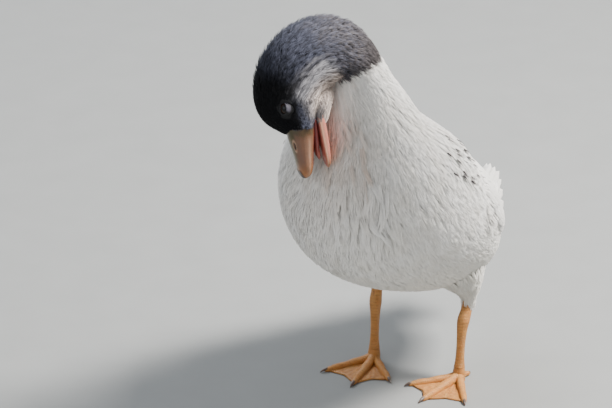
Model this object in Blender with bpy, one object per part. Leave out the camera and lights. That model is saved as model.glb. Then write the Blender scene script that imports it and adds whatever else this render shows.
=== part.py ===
"""A bantam call duck that stands and tucks its bill to its breast, life size.

+X is the way the duck's body faces, +Y is its left and +Z is up. The sizes below are in millimetres,
measured from the ground between its ankles, and mesh_object turns them into metres.
"""

import math

import bmesh
import bpy
import numpy as np

MM = 0.001
GAP = 0.3  # kept between two pieces that touch
MIDDLE = (2.4, -5.3)  # the middle of the duck's outline in plan, which becomes the origin

# The trunk is one tube from rump to face: its middle line, the way its back faces, and how far it
# reaches from that line to its back, its underside and either side.
TRUNK = [
    ((-86.7, -5.3, 74.3), (-0.5, 0, 0.85), 5, 4, 6),  # rump end
    ((-78.7, -5.3, 75.3), (-0.5, 0, 0.85), 18, 14, 25),  # rump
    ((-55.7, -5.3, 80.3), (-0.5, 0, 0.85), 28, 26, 40),  # loin
    ((-20.7, -5.3, 95.3), (-0.5, 0, 0.85), 39, 43, 57),  # back and belly
    ((8.3, -5.3, 117.3), (-0.55, 0, 0.8), 44, 55, 64.5),  # widest body
    ((32.3, -5.3, 143.3), (-0.75, 0, 0.7), 41, 72, 68),  # shoulders and low breast
    ((49.3, -5.3, 170.3), (-0.95, 0, 0.35), 35, 71, 63),  # breast and base of the neck
    ((56.3, -5.3, 192.3), (-1, 0, 0.15), 29, 50, 46),  # low neck
    ((60.3, -6.3, 210.3), (-1, 0.05, 0.05), 23, 30, 32),  # middle of the neck
    ((64.3, -8.8, 227.3), (-0.95, 0.3, 0.2), 18, 19, 25),  # high neck
    ((69.8, -12.3, 244.8), (-0.55, 0.35, 0.75), 18, 16, 23),  # rise of the arch
    ((83.8, -21.5, 252.3), (0.1, -0.1, 1), 24, 15.5, 22.5),  # nape
    ((98.3, -31.1, 245.3), (0.6, -0.55, 0.65), 25, 16, 22.5),  # back of the head
    ((103.8, -34.8, 231.3), (0.65, -0.76, 0.1), 25, 18, 22.5),  # cheeks
    ((105.3, -32.8, 220.8), (0.65, -0.76, 0), 24.5, 18.5, 20),  # eyes
    ((107.1, -27.8, 212.8), (0.65, -0.76, 0), 18.5, 17, 15),  # face
    ((108.7, -23.8, 205.8), (0.65, -0.76, 0), 10.5, 12, 9.5),  # root of the bill
]
NECK_START, NECK_MIDDLE, HEAD_START, FACE_END = 6, 8.4, 10.4, 16
SEAM = 0.018  # the thin cut between two lengths of the trunk, in rows of the table
TORSO_GRID, HEAD_GRID = (24, 28), (19, 26)  # rings and sides

# The surface that the folded wings lie on. It keeps to the trunk in front and stays wide behind it.
CLOAK = [
    ((-113.7, -5.3, 75.3), (-0.4, 0, 0.9), 27, 20, 31),
    ((-83.7, -5.3, 77.3), (-0.45, 0, 0.9), 24, 20, 33),
    ((-54.7, -5.3, 83.3), (-0.5, 0, 0.85), 29, 26, 41),
    ((-20.7, -5.3, 96.3), (-0.5, 0, 0.85), 40, 42, 58),
    ((7.3, -5.3, 117.3), (-0.55, 0, 0.8), 46.5, 55, 66.5),
    ((32.3, -5.3, 143.3), (-0.75, 0, 0.7), 44, 71, 68),
    ((48.3, -5.3, 169.3), (-0.95, 0, 0.35), 35, 70, 58),
]
# Along the folded wing from its tips to its shoulder: the row of CLOAK, the middle of the wing as an
# angle from the back, and half its width as an angle.
WING = [
    (0.45, 19, 5),
    (1.3, 25, 13),
    (2.2, 40, 24),
    (3.2, 52, 33),
    (4.2, 52, 35),
    (5.1, 46, 22),
]
# The arm of the wing, a shield that the vanes grow from: how far up the wing it starts, how high its
# back stands over the cloak, how deep it reaches into the body, and how much its rim is bent down.
ARM_START, ARM_HEIGHT, ARM_DEPTH, ARM_BEND = 0.47, 2.0, 6.0, 2.6
ARM_BACK, ARM_FRONT = 0.3, 0.8  # from where up the wing its sides and its front are bent
VANE_THICKNESS, VANE_RISE = 0.7, 0.7  # the rise is complete at this share of the length
VANE_SHAPE = [(0, 0.55), (0.35, 0.95), (0.7, 1), (0.9, 0.7), (1, 0.12)]  # share of length, of width
# Rows of vanes on a folded wing: their number, the root and tip of the first and of the last, each as
# (share of the way up the wing, millimetres above its middle line), the width of a vane, the height of
# the roots, the rise to the tips, what each next vane adds to that rise, and the roll of the vanes.
WING_ROWS = [
    (4, (0.56, -6), (0.0, -3), (0.56, 9), (0.1, 3), 8.5, 0.7, 0.2, 0.75, -0.16),  # primaries
    (6, (0.62, -20), (0.3, -11), (0.6, 17), (0.2, 8), 11.5, 1.6, 2.6, 0.45, -0.15),  # secondaries
    (6, (0.72, -22), (0.52, -18.5), (0.72, 17), (0.5, 18), 7.3, 1.6, 2.3, 0, 0),  # greater coverts
    (5, (0.82, -21), (0.65, -20), (0.82, 13), (0.65, 15), 7.9, 1.6, 2.0, 0, 0),  # median coverts
    (5, (0.92, -18), (0.76, -21), (0.92, 12), (0.76, 16), 7.1, 1.6, 1.8, 0, 0),  # lesser coverts
    (4, (0.94, 20), (0.64, 20), (0.8, 30), (0.52, 25), 8.5, 1.6, 3.2, 0.5, -0.1),  # scapulars
]

BILL_ROOT = (110.7, -24.1, 206.4)
BILL_AHEAD = (0.095, 0.141, -0.985)
BILL_UP = (0.65, -0.76, 0.0)
# Distance from the root, height above and below the bill's middle line, half width.
UPPER_BILL = [
    (-5, 9.5, 8.5, 8.4),
    (2, 9.2, 8.2, 8.4),
    (9, 7.4, 7.0, 8.2),
    (16, 5.6, 6.2, 8.4),
    (22, 4.6, 5.6, 8.8),
    (26.5, 3.6, 4.4, 7.6),
    (29, 2.4, 3.2, 5.2),
    (30.3, 1.0, 1.6, 2.4),
]
JAW_ROOT = (102.6, -15.4, 209.2)
JAW_AHEAD = (0.068, 0.253, -0.965)
LOWER_BILL = [
    (-13, 3.0, 3.2, 6.4),
    (-4, 3.4, 3.6, 7.4),
    (4, 3.2, 3.6, 7.4),
    (14, 2.8, 3.2, 7.2),
    (21, 2.3, 2.7, 6.8),
    (25.5, 1.7, 2.0, 5.0),
    (27.5, 0.7, 0.9, 2.2),
]
# The nostril is a slot along the bill: the row of UPPER_BILL and the angle from the ridge at its
# middle, half its length and its radius.
NOSTRIL_ROW, NOSTRIL_ANGLE, NOSTRIL_REACH, NOSTRIL_RADIUS = 1.9, 40, 1.9, 0.8
# The nail is a low shield on the tip: rows of UPPER_BILL with its radius there.
NAIL = [(4.4, 0.5), (4.9, 1.7), (5.6, 2.1), (6.2, 1.9), (6.8, 1.2)]
NAIL_SINK = 0.8  # how much of its radius lies in the bill
TONGUE = [
    (0, 0.6, 0.6, 2.6),
    (8, 0.8, 0.8, 3.6),
    (16, 0.7, 0.7, 3.4),
    (21, 0.4, 0.4, 1.6),
]
TONGUE_RISE = 4.6

EYE_RADIUS = 4.6
EYE_ROW, EYE_ANGLE, EYE_DEPTH = 14.15, 66, 3.0
# Angles of the lid from the middle of the eye: its opening, how much its raised part closes, its outer
# edge, and where round the eye the raised part lies. Then the heights of its two faces over the ball.
LID_OPENING, LID_RAISED, LID_EDGE, LID_REAR = 50, 24, 88, 130
LID_FACES = (0.35, 1.25)

LEAN = -5.3  # how far to one side of its feet the body stands
LIMB_SIDE = (0.12, 0.97, 0.2)  # nearly sideways, and along no limb
THIGH = [  # middle line and radius, before the lean
    ((-3, 32, 87.3), 24),
    ((-8, 34.5, 72.5), 15.5),
    ((-10.8, 34.6, 63.8), 9.2),
    ((-12, 34, 58.5), 6.6),
    ((-12.2, 33.5, 55), 5.2),
]
SHANK = [
    ((-12.2, 33.4, 54.6), 4.0),
    ((-10.5, 33, 48), 3.3),
    ((-7.5, 32.4, 42), 4.4),
    ((-6.5, 32, 37), 3.5),
    ((-5.5, 31.7, 26), 2.7),
    ((-4.6, 31.5, 14), 2.8),
    ((-4.3, 31.4, 9.3), 3.6),
]
ANKLE = (-4.2, 31.4)
FOOT_ROOT = [((-4.2, 31.4, 8.9), 3.5), ((-4, 31.4, 5), 4.2), ((-3, 31.4, -0.6), 4.4)]
TOES = [  # the way it points, its length, its radius near the root
    (-8, 46, 3.0),
    (-44, 38, 2.7),
    (32, 41, 2.7),
    (165, 11, 2.0),
]
TOE_SHAPE = [  # share of its length, of its radius, height of its middle line
    (0, 1.25, 3.6),
    (0.2, 0.95, 1.9),
    (0.38, 1.05, 1.8),
    (0.55, 0.8, 1.5),
    (0.7, 0.9, 1.5),
    (0.86, 0.62, 1.2),
    (0.9, 0.5, 1.6),
    (0.97, 0.3, 1.3),
    (1.0, 0.12, 0.6),
]

# The web spans from toe to toe: pairs of TOES, the shares of their lengths along them, and how much
# nearer the ankle its middle lies than its edges.
WEBS = ((0, 1), (0, 2))
WEB_SHARES = (0.08, 0.35, 0.62, 0.84)
WEB_SAG, WEB_THICKNESS = 0.86, 1.1
TAIL_CORE = [
    ((-64, -5.3, 79), (-0.4, 0, 0.9), 9, 9, 13),
    ((-76, -5.3, 83.5), (-0.4, 0, 0.9), 9, 9, 14),
    ((-86, -5.3, 87.5), (-0.4, 0, 0.9), 6, 6, 11),
    ((-93, -5.3, 91), (-0.4, 0, 0.9), 1.5, 2, 5),
]
# The fan of the tail, half closed like a roof: its middle line, and how far its outer feathers reach
# sideways and droop at their tips, how much shorter they are, and the step from one to the next.
FAN_ROOT, FAN_TIP = (-70, -5.3, 81.3), (-122, -5.3, 103.3)
FAN_SIDE, FAN_DROOP, FAN_SHORT, FAN_STEP, FAN_NARROW = 22, 26, 0.3, 1.1, 0.33
# Rows of the tail: the number of vanes on either side of the middle one, the share of the fan's length
# where they start and end, their width, and their height over the fan.
TAIL_ROWS = [
    (6, 0.0, 1.0, 8.6, 0.0),  # tail feathers
    (3, 0.0, 0.62, 8.0, 2.2),  # upper coverts
]
CURLS = [(0.64, -1.4, 4.8), (0.5, 1.4, 4.2)]  # share of the fan, millimetres to the left, radius

# Each finish: its name, colour and roughness.
WHITE = ("white_feathers", (0.86, 0.85, 0.82), 0.85)
GREY = ("grey_feathers", (0.16, 0.16, 0.19), 0.85)
HORN = ("bill_horn", (0.68, 0.38, 0.22), 0.45)
FLESH = ("mouth_flesh", (0.62, 0.25, 0.2), 0.4)
EYE = ("eye_dark", (0.02, 0.02, 0.025), 0.08)
SKIN = ("leg_skin", (0.78, 0.36, 0.1), 0.55)
SIDES = {"left": 1, "right": -1}


def spline(values, at):
    """A smooth curve led by the rows of values, read at fractional row numbers (a cubic B-spline, which
    starts on the first row and ends on the last)."""
    values = np.asarray(values, float)
    padded = np.concatenate([2 * values[:1] - values[1:2], values, 2 * values[-1:] - values[-2:-1]])
    at = np.clip(np.asarray(at, float), 0, len(values) - 1)
    row = np.minimum(at.astype(int), len(values) - 2)
    t = (at - row)[..., None]
    a, b, c, d = (padded[row + k] for k in range(4))
    inner = b * (3 * t**3 - 6 * t**2 + 4) + c * (3 * t + 3 * t**2 - 3 * t**3 + 1)
    return (a * (1 - t) ** 3 + inner + d * t**3) / 6


def unit(v):
    v = np.asarray(v, float)
    return v / np.linalg.norm(v, axis=-1, keepdims=True)


def tube_point(table, row, angle, more=0.0):
    """A point of a tube's surface. The row counts along its table, the angle turns from the back to the
    duck's left, and more is added to the radii."""
    rows = np.array([[*middle, *dorsal, back, belly, side] for middle, dorsal, back, belly, side in table])
    row, angle, more = np.broadcast_arrays(row, angle, more)
    here = spline(rows, row)
    step = 0.02
    along = unit(spline(rows[:, :3], row + step) - spline(rows[:, :3], row - step))
    dorsal = here[..., 3:6]
    dorsal = unit(dorsal - (dorsal * along).sum(-1, keepdims=True) * along)
    left = np.cross(dorsal, along)
    back, belly, side = (here[..., k] + more for k in (6, 7, 8))
    up = np.where(np.cos(angle) > 0, back, belly) * np.cos(angle)
    return here[..., :3] + dorsal * up[..., None] + left * (side * np.sin(angle))[..., None]


def material(name, colour, roughness):
    found = bpy.data.materials.get(name)
    if found:
        return found
    made = bpy.data.materials.new(name)
    made.use_nodes = True
    shader = made.node_tree.nodes["Principled BSDF"]
    shader.inputs["Base Color"].default_value = (*colour, 1)
    shader.inputs["Roughness"].default_value = roughness
    return made


def mesh_object(name, points, faces, finish=None):
    """A mesh from points in millimetres, moved so that the middle of the duck's outline is the origin."""
    shift = np.array([*MIDDLE, 0.0])
    mesh = bpy.data.meshes.new(name)
    mesh.from_pydata([tuple(p) for p in (np.asarray(points, float) - shift) * MM], [], faces)
    bm = bmesh.new()
    bm.from_mesh(mesh)
    bmesh.ops.recalc_face_normals(bm, faces=bm.faces)
    if bm.calc_volume(signed=True) < 0:
        bmesh.ops.reverse_faces(bm, faces=bm.faces)
    bm.to_mesh(mesh)
    bm.free()
    obj = bpy.data.objects.new(name, mesh)
    if finish:
        mesh.materials.append(material(*finish))
    bpy.context.scene.collection.objects.link(obj)
    return obj


def tube_faces(count, sides):
    """Faces of a tube through rings of points, with a fan at each end, whose middle points come last."""
    faces = []
    for i in range(count - 1):
        for j in range(sides):
            k = (j + 1) % sides
            faces.append((i * sides + j, i * sides + k, (i + 1) * sides + k, (i + 1) * sides + j))
    for i, middle in ((0, count * sides), (count - 1, count * sides + 1)):
        for j in range(sides):
            faces.append((i * sides + j, i * sides + (j + 1) % sides, middle))
    return faces


def closed_tube(name, rings, finish=None):
    points = np.concatenate([rings.reshape(-1, 3), [rings[0].mean(axis=0), rings[-1].mean(axis=0)]])
    return mesh_object(name, points, tube_faces(*rings.shape[:2]), finish)


def ring_grid(start, end, count, sides):
    row = np.linspace(start, end, count)[:, None]
    angle = np.linspace(0, 2 * math.pi, sides, endpoint=False)[None, :]
    return np.broadcast_arrays(row, angle)


def trunk_piece(name, start, end, count, sides, finish=None, more=0.0):
    row, angle = ring_grid(start, end, count, sides)
    return closed_tube(name, tube_point(TRUNK, row, angle, more), finish)


def bill_rings(root, ahead, rows, count, sides, more=0.0):
    return bill_point(root, ahead, rows, *ring_grid(0, len(rows) - 1, count, sides), more)


def bill_point(root, ahead, rows, row, angle, more=0.0):
    """A point of a bill or tongue, which is arched above, nearly flat below and widest at its edges."""
    ahead = unit(ahead)
    up = unit(np.asarray(BILL_UP) - np.dot(BILL_UP, ahead) * ahead)
    left = np.cross(up, ahead)
    here = spline(rows, row)
    c, s = np.cos(angle), np.sin(angle)
    height = np.where(c > 0, (here[..., 1] + more) * c, -(here[..., 2] + more) * np.abs(c) ** 0.5)
    across = (here[..., 3] + more) * np.sign(s) * np.abs(s) ** 0.8
    middle = np.asarray(root) + ahead * here[..., :1]
    return middle + up * height[..., None] + left * across[..., None]


def limb_rings(rows, side, count, sides, more=0.0):
    """Rings round a limb: circles square to its middle line."""
    table = np.array([[x, side * y, z, radius + more] for (x, y, z), radius in rows])
    row, angle = ring_grid(0, len(rows) - 1, count, sides)
    here = spline(table, row)
    along = unit(spline(table[:, :3], row + 0.02) - spline(table[:, :3], row - 0.02))
    across = unit(np.cross(along, LIMB_SIDE))
    other = np.cross(along, across)
    circle = across * np.cos(angle)[..., None] + other * np.sin(angle)[..., None]
    return here[..., :3] + here[..., 3:] * circle


def ball(name, centre, radius, axis, segments=14, rings=8, finish=None):
    """A ball whose poles lie on its axis."""
    axis = unit(axis)
    across = unit(np.cross(axis, (0.3, 0.5, 0.81)))
    other = np.cross(axis, across)
    lean = np.linspace(0, math.pi, rings + 1)[1:-1, None]
    turn = np.linspace(0, 2 * math.pi, segments, endpoint=False)[None, :]
    flat = across * np.cos(turn)[..., None] + other * np.sin(turn)[..., None]
    rows = axis * np.cos(lean)[..., None] + flat * np.sin(lean)[..., None]
    points = np.concatenate([rows.reshape(-1, 3), [axis, -axis]]) * radius + np.asarray(centre)
    return mesh_object(name, points, tube_faces(*rows.shape[:2]), finish)


def keep_largest(bm):
    """Deletes every closed surface but the one that holds the most."""
    todo, shells = set(bm.faces), []
    while todo:
        shell, front = set(), [todo.pop()]
        while front:
            face = front.pop()
            shell.add(face)
            for near in (f for e in face.edges for f in e.link_faces):
                if near in todo:
                    todo.discard(near)
                    front.append(near)
        shells.append(shell)

    def size(shell):
        return sum(f.calc_center_median().dot(f.normal) * f.calc_area() for f in shell)

    shells.sort(key=size, reverse=True)
    loose = {v for shell in shells[1:] for f in shell for v in f.verts}
    bmesh.ops.delete(bm, geom=list(loose), context="VERTS")


def boolean(obj, others, operation):
    """Joins closed meshes to the object, or cuts them from it, and removes them."""
    group = bpy.data.collections.new("operands")
    bpy.context.scene.collection.children.link(group)
    for other in others:
        group.objects.link(other)
    step = obj.modifiers.new(operation.lower(), "BOOLEAN")
    step.operation = operation
    step.operand_type = "COLLECTION"
    step.collection = group
    step.solver = "EXACT"
    result = bpy.data.meshes.new_from_object(obj.evaluated_get(bpy.context.evaluated_depsgraph_get()))
    obj.modifiers.clear()
    obj.data = result
    for other in others:
        bpy.data.objects.remove(other)
    bpy.data.collections.remove(group)
    bm = bmesh.new()
    bm.from_mesh(result)
    bmesh.ops.triangulate(bm, faces=bm.faces)
    bm.normal_update()
    keep_largest(bm)
    bm.to_mesh(result)
    bm.free()


def join(obj, others):
    boolean(obj, others, "UNION")


def cut(obj, others):
    boolean(obj, others, "DIFFERENCE")


def make_trunk():
    trunk_piece("torso", 0, NECK_START, *TORSO_GRID, WHITE)
    neck = trunk_piece("neck_lower", NECK_START + SEAM, NECK_MIDDLE, 9, 28, WHITE)
    cut(neck, [lower_bill("bed_of_the_bill", more=GAP)])
    trunk_piece("neck_upper", NECK_MIDDLE + SEAM, HEAD_START, 8, 26, WHITE)


def eye_place(side):
    """The eye's middle and the way it looks."""
    angle = side * math.radians(EYE_ANGLE)
    surface = tube_point(TRUNK, EYE_ROW, angle)
    outward = unit(tube_point(TRUNK, EYE_ROW, angle, 1.0) - surface)
    return surface - outward * EYE_DEPTH, outward


def lid(side):
    """A ring of skin round the eye that follows the ball, with its lower rear part half raised."""
    centre, outward = eye_place(side)
    ahead = unit(np.asarray(BILL_AHEAD) - np.dot(BILL_AHEAD, outward) * outward)
    down = np.cross(outward, ahead) * side
    turn = np.linspace(0, 2 * math.pi, 14, endpoint=False)
    flat = ahead * np.cos(turn)[:, None] + down * np.sin(turn)[:, None]
    covered = np.clip(np.cos(turn - math.radians(LID_REAR)), 0, 1)
    inner = np.radians(LID_OPENING - LID_RAISED * covered)
    outer = np.full_like(inner, math.radians(LID_EDGE))
    thin, thick = np.add(EYE_RADIUS, LID_FACES)
    middle = (inner + outer) / 2
    section = ((inner, thin), (inner, thick), (middle, thick), (outer, thick), (outer, thin), (middle, thin))
    rings = [
        centre + radius * (outward * np.cos(lean)[:, None] + flat * np.sin(lean)[:, None])
        for lean, radius in section
    ]
    rings = np.stack(rings, axis=1)
    count, sides = rings.shape[:2]
    faces = []
    for i in range(count):
        n = (i + 1) % count
        for j in range(sides):
            k = (j + 1) % sides
            faces.append((i * sides + j, i * sides + k, n * sides + k, n * sides + j))
    return mesh_object("lid", rings.reshape(-1, 3), faces)


def make_head():
    head = trunk_piece("head", HEAD_START + SEAM, FACE_END, *HEAD_GRID, GREY)
    sockets = []
    for name, side in SIDES.items():
        centre, outward = eye_place(side)
        ball("eye_" + name, centre, EYE_RADIUS, outward, finish=EYE)
        sockets.append(ball("socket", centre, EYE_RADIUS + GAP, outward))
    cut(head, sockets)
    join(head, [lid(side) for side in SIDES.values()])


def face_cutter():
    return trunk_piece("face_cutter", HEAD_START + SEAM, FACE_END, *HEAD_GRID, more=GAP)


def body_cutter():
    return trunk_piece("body_cutter", 0, NECK_START, *TORSO_GRID, more=GAP)


def upper_bill(name, finish=None, more=0.0):
    return closed_tube(name, bill_rings(BILL_ROOT, BILL_AHEAD, UPPER_BILL, 14, 18, more), finish)


def lower_bill(name, finish=None, more=0.0):
    return closed_tube(name, bill_rings(JAW_ROOT, JAW_AHEAD, LOWER_BILL, 10, 14, more), finish)


def nostril(side):
    """A slot with round ends, half sunk in the bill."""
    angle = side * math.radians(NOSTRIL_ANGLE)
    middle = bill_point(BILL_ROOT, BILL_AHEAD, UPPER_BILL, NOSTRIL_ROW, angle)
    ahead = unit(BILL_AHEAD)
    reach = NOSTRIL_REACH * np.array([-1, -0.7, 0.7, 1])
    radius = NOSTRIL_RADIUS * np.array([0.35, 1, 1, 0.35])
    return closed_tube("nostril", limb_rings([(middle + ahead * a, r) for a, r in zip(reach, radius)], 1, 4, 8))


def nail():
    """The hard shield on the bill's tip, which bends down with it."""
    rows = []
    for row, radius in NAIL:
        ridge = bill_point(BILL_ROOT, BILL_AHEAD, UPPER_BILL, row, 0.0)
        rows.append((ridge - unit(BILL_UP) * radius * NAIL_SINK, radius))
    return closed_tube("nail", limb_rings(rows, 1, 7, 10))


def make_bill():
    bill = upper_bill("bill_upper", HORN)
    join(bill, [nail()])
    cut(bill, [face_cutter()] + [nostril(side) for side in SIDES.values()])
    cut(lower_bill("bill_lower", FLESH), [face_cutter(), upper_bill("palate", more=GAP)])
    root = np.asarray(JAW_ROOT) + unit(BILL_UP) * TONGUE_RISE
    tongue = closed_tube("tongue", bill_rings(root, JAW_AHEAD, TONGUE, 6, 8), FLESH)
    cut(tongue, [face_cutter(), upper_bill("palate", more=GAP), lower_bill("floor", more=GAP)])


def wing_point(side, x, y, height, across=0.0):
    """A point over the folded wing: x runs from the tips to the shoulder, y from its lower edge at -1
    to its upper edge at 1, and the height is over the cloak. Across adds millimetres to y."""
    x, y, height, across = np.broadcast_arrays(x, y, height, across)
    row, middle, half = np.moveaxis(spline(WING, x * (len(WING) - 1)), -1, 0)
    radius = spline([[back] for _, _, back, _, _ in CLOAK], row)[..., 0]
    turn = half * y + np.degrees(across / radius)
    rim = np.clip(np.abs(turn / half), 0, 1) ** 4 * np.clip(x / ARM_BACK - 1, 0, 1)
    front = np.clip((x - ARM_FRONT) / (1 - ARM_FRONT), 0, 1) ** 2
    bent = height - ARM_BEND * np.maximum(rim, front)
    return tube_point(CLOAK, row, side * np.radians(middle - turn), bent)


def vane(place, root, tip, width, height, rise, roll=0.0):
    """A tapered blade of even thickness. Its root, tip and height are in the terms of place, and both
    its faces are split alike. The roll lifts one edge over the next vane."""
    share, spread = np.array(VANE_SHAPE).T[:, :, None]
    x, y = (root[k] + (tip[k] - root[k]) * share for k in (0, 1))
    edge = np.array([-1, 1, 1, -1]) * spread * width / 2
    face = np.array([1, 1, -1, -1]) * VANE_THICKNESS / 2
    points = place(x, y + edge, height + rise * np.minimum(share / VANE_RISE, 1) + face + roll * edge)
    return mesh_object("vane", points.reshape(-1, 3), strip_faces(len(share)))


def strip_faces(stations):
    """Triangles of a flat strip with four corners at each station, alike on its two faces."""
    faces = [(3, 2, 1), (3, 1, 0)]
    for i in range(0, 4 * (stations - 1), 4):
        for j in range(4):
            a, b, c, d = i + j, i + (j + 1) % 4, i + 4 + (j + 1) % 4, i + 4 + j
            faces += [(a, b, c), (a, c, d)] if j < 2 else [(a, b, d), (b, c, d)]
    last = 4 * (stations - 1)
    return faces + [(last, last + 1, last + 2), (last, last + 2, last + 3)]


def wing_vanes(side, row):
    """A row of WING_ROWS, spread evenly from its first vane to its last."""
    count, first_root, first_tip, last_root, last_tip, width, height, rise, step, roll = row
    first, last = np.array([first_root, first_tip]), np.array([last_root, last_tip])

    def place(x, across, height):
        return wing_point(side, x, 0.0, height, across)

    vanes = []
    for k in range(count):
        root, tip = first + (last - first) * k / (count - 1)
        vanes.append(vane(place, root, tip, width, height, rise + step * k, roll))
    return vanes


def make_wing(name, side):
    """The folded wing: a shield that follows the body, with the rows of vanes that grow from it."""
    x = np.linspace(ARM_START, 1, 8)[:, None]
    y = np.concatenate([np.linspace(-1, 1, 7), np.linspace(1, -1, 5)])[None, :]
    height = np.where(np.arange(12) < 7, ARM_HEIGHT, -ARM_DEPTH)[None, :]
    wing = closed_tube(name, wing_point(side, x, y, height), WHITE)
    join(wing, [one for row in WING_ROWS for one in wing_vanes(side, row)])
    cut(wing, [body_cutter()])


def fan_point(x, across, height):
    """A point by the tail's fan: x runs from its root to its tip, across is to the duck's left, and the
    height is over the fan, which droops to either side."""
    x, across, height = (v[..., None] for v in np.broadcast_arrays(x, across, height))
    line = np.subtract(FAN_TIP, FAN_ROOT)
    left = np.array([0, 1.0, 0])
    droop = FAN_DROOP / FAN_SIDE**2 * np.clip(x, 0, 1)
    up = unit(np.cross(left, line) + np.linalg.norm(line) * 2 * droop * across * left)
    return FAN_ROOT + line * x + left * across - [0, 0, 1] * droop * across**2 + up * height


def fan_vanes(side_count, start, end, width, height):
    """A row of TAIL_ROWS. The middle vane lies on top and each next one lies lower and ends earlier."""
    vanes = []
    for i in range(-side_count, side_count + 1):
        out = i / TAIL_ROWS[0][0]
        tip = (end - FAN_SHORT * out**2, FAN_SIDE * out)
        root = (start, FAN_SIDE * out * FAN_NARROW)
        vanes.append(vane(fan_point, root, tip, width, height - FAN_STEP * abs(i), 0.0))
    return vanes


def curl(share, left, radius):
    """A narrow feather that lies on the fan and curls up and forwards at its end."""
    turn = np.radians(np.array([-140, -90, -45, 0, 45, 90, 135]))[:, None]
    stations = len(turn)
    edge = np.array([-1, 1, 1, -1]) * np.linspace(2.2, 0.8, stations)[:, None]
    face = np.array([1, 1, -1, -1]) * VANE_THICKNESS / 2
    reach = (radius - face) / np.linalg.norm(np.subtract(FAN_TIP, FAN_ROOT))
    points = fan_point(share + reach * np.cos(turn), left + edge, radius + 1.5 + (radius - face) * np.sin(turn))
    return mesh_object("curl", points.reshape(-1, 3), strip_faces(stations))


def make_tail():
    row, angle = ring_grid(0, len(TAIL_CORE) - 1, 9, 16)
    tail = closed_tube("tail", tube_point(TAIL_CORE, row, angle), WHITE)
    vanes = [one for row in TAIL_ROWS for one in fan_vanes(*row)]
    join(tail, vanes + [curl(*place) for place in CURLS])
    cut(tail, [body_cutter()])


def toe(side, turn, length, radius):
    """A toe as a tapered limb with three swellings. What is below the ground is cut off later."""
    turn = math.radians(turn)
    ahead = np.array([math.cos(turn), math.sin(turn)])
    rows = []
    for reach, thick, rise in TOE_SHAPE:
        x, y = np.array(ANKLE) + ahead * length * reach
        rows.append(((x, y, rise), radius * thick))
    return closed_tube("toe", limb_rings(rows, side, 11, 8))


def web(side, pair):
    """A thin sheet between two toes, whose front edge is hollow."""
    share = np.array(WEB_SHARES)[:, None]
    lines = []
    for turn, length, _ in (TOES[k] for k in pair):
        way = np.array([math.cos(math.radians(turn)), math.sin(math.radians(turn))])
        lines.append(np.array(ANKLE) + way * length * share)
    middle = np.array(ANKLE) + ((lines[0] + lines[1]) / 2 - np.array(ANKLE)) * WEB_SAG
    plan = np.stack([lines[0], middle, lines[1], lines[1], middle, lines[0]], axis=1)
    rise = WEB_THICKNESS * np.array([1, 1, 1, -0.3, -0.3, -0.3])[None, :, None]
    points = np.concatenate([plan * [1, side], rise + 0 * plan[..., :1]], axis=2)
    return closed_tube("web", points)


def make_foot(name, side):
    foot = closed_tube(name, limb_rings(FOOT_ROOT, side, 5, 10), SKIN)
    join(foot, [toe(side, *row) for row in TOES] + [web(side, pair) for pair in WEBS])
    corners = [(x, y, z) for z in (-20, 0) for x, y in ((-60, -90), (90, -90), (90, 90), (-60, 90))]
    sides = [(0, 1, 2, 3), (4, 5, 6, 7), (0, 1, 5, 4), (1, 2, 6, 5), (2, 3, 7, 6), (3, 0, 4, 7)]
    cut(foot, [mesh_object("ground", corners, sides)])


def leaning_thigh(side):
    """The thigh's rows, leaning from the top of the shank to the hip."""
    top, foot = THIGH[0][0][2], THIGH[-1][0][2]
    return [((x, y + side * LEAN * (z - foot) / (top - foot), z), radius) for (x, y, z), radius in THIGH]


def make_leg(name, side):
    closed_tube("shank_" + name, limb_rings(SHANK, side, 14, 12), SKIN)
    thigh = closed_tube("thigh_" + name, limb_rings(leaning_thigh(side), side, 9, 16), WHITE)
    cut(thigh, [body_cutter(), closed_tube("shank_room", limb_rings(SHANK, side, 14, 12, GAP))])
    make_foot("foot_" + name, side)


def main():
    for obj in list(bpy.data.objects):
        bpy.data.objects.remove(obj)
    make_trunk()
    make_head()
    make_bill()
    make_tail()
    for name, side in SIDES.items():
        make_wing("wing_" + name, side)
        make_leg(name, side)


main()
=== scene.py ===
# %% [markdown]
# # A bantam call duck in its plumage
# A call duck is the smallest of the domestic ducks. This one stands with its head turned down and its
# bill tucked to its breast. Its shape comes from a model that is already packed: this lesson loads that
# model, keeps its surfaces as a guide, and grows skin, feathers, bill, eyes and legs over them.

import math

import bmesh
import bpy
import numpy as np
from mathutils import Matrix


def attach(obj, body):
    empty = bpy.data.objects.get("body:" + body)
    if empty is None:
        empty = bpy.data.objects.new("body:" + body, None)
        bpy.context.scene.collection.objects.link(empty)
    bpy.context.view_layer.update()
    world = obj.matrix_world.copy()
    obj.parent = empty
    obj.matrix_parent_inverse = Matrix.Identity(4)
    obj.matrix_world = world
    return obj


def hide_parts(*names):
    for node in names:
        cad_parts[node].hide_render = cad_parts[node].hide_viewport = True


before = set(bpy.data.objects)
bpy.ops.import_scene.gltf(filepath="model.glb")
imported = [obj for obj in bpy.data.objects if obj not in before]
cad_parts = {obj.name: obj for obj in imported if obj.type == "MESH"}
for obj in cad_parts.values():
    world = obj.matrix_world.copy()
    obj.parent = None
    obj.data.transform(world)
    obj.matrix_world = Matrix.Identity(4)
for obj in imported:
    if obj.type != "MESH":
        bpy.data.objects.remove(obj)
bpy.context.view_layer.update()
print("packed nodes:", len(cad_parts))

# %% [markdown]
# ## Sizes
# A surface can be modelled by pushing points about, or worked out from a few named sizes. The second way
# keeps skin and feathers on exactly the same form, so the tables of the duck's solid model are repeated
# here. They are in millimetres, and every point is moved and scaled to metres when its mesh is made.

# %% The duck's sizes
MM = 0.001
MIDDLE = np.array([2.4, -5.3, 0.0])  # the middle of the duck's outline in plan, which is the origin
SIDES = {"left": 1, "right": -1}

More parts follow.
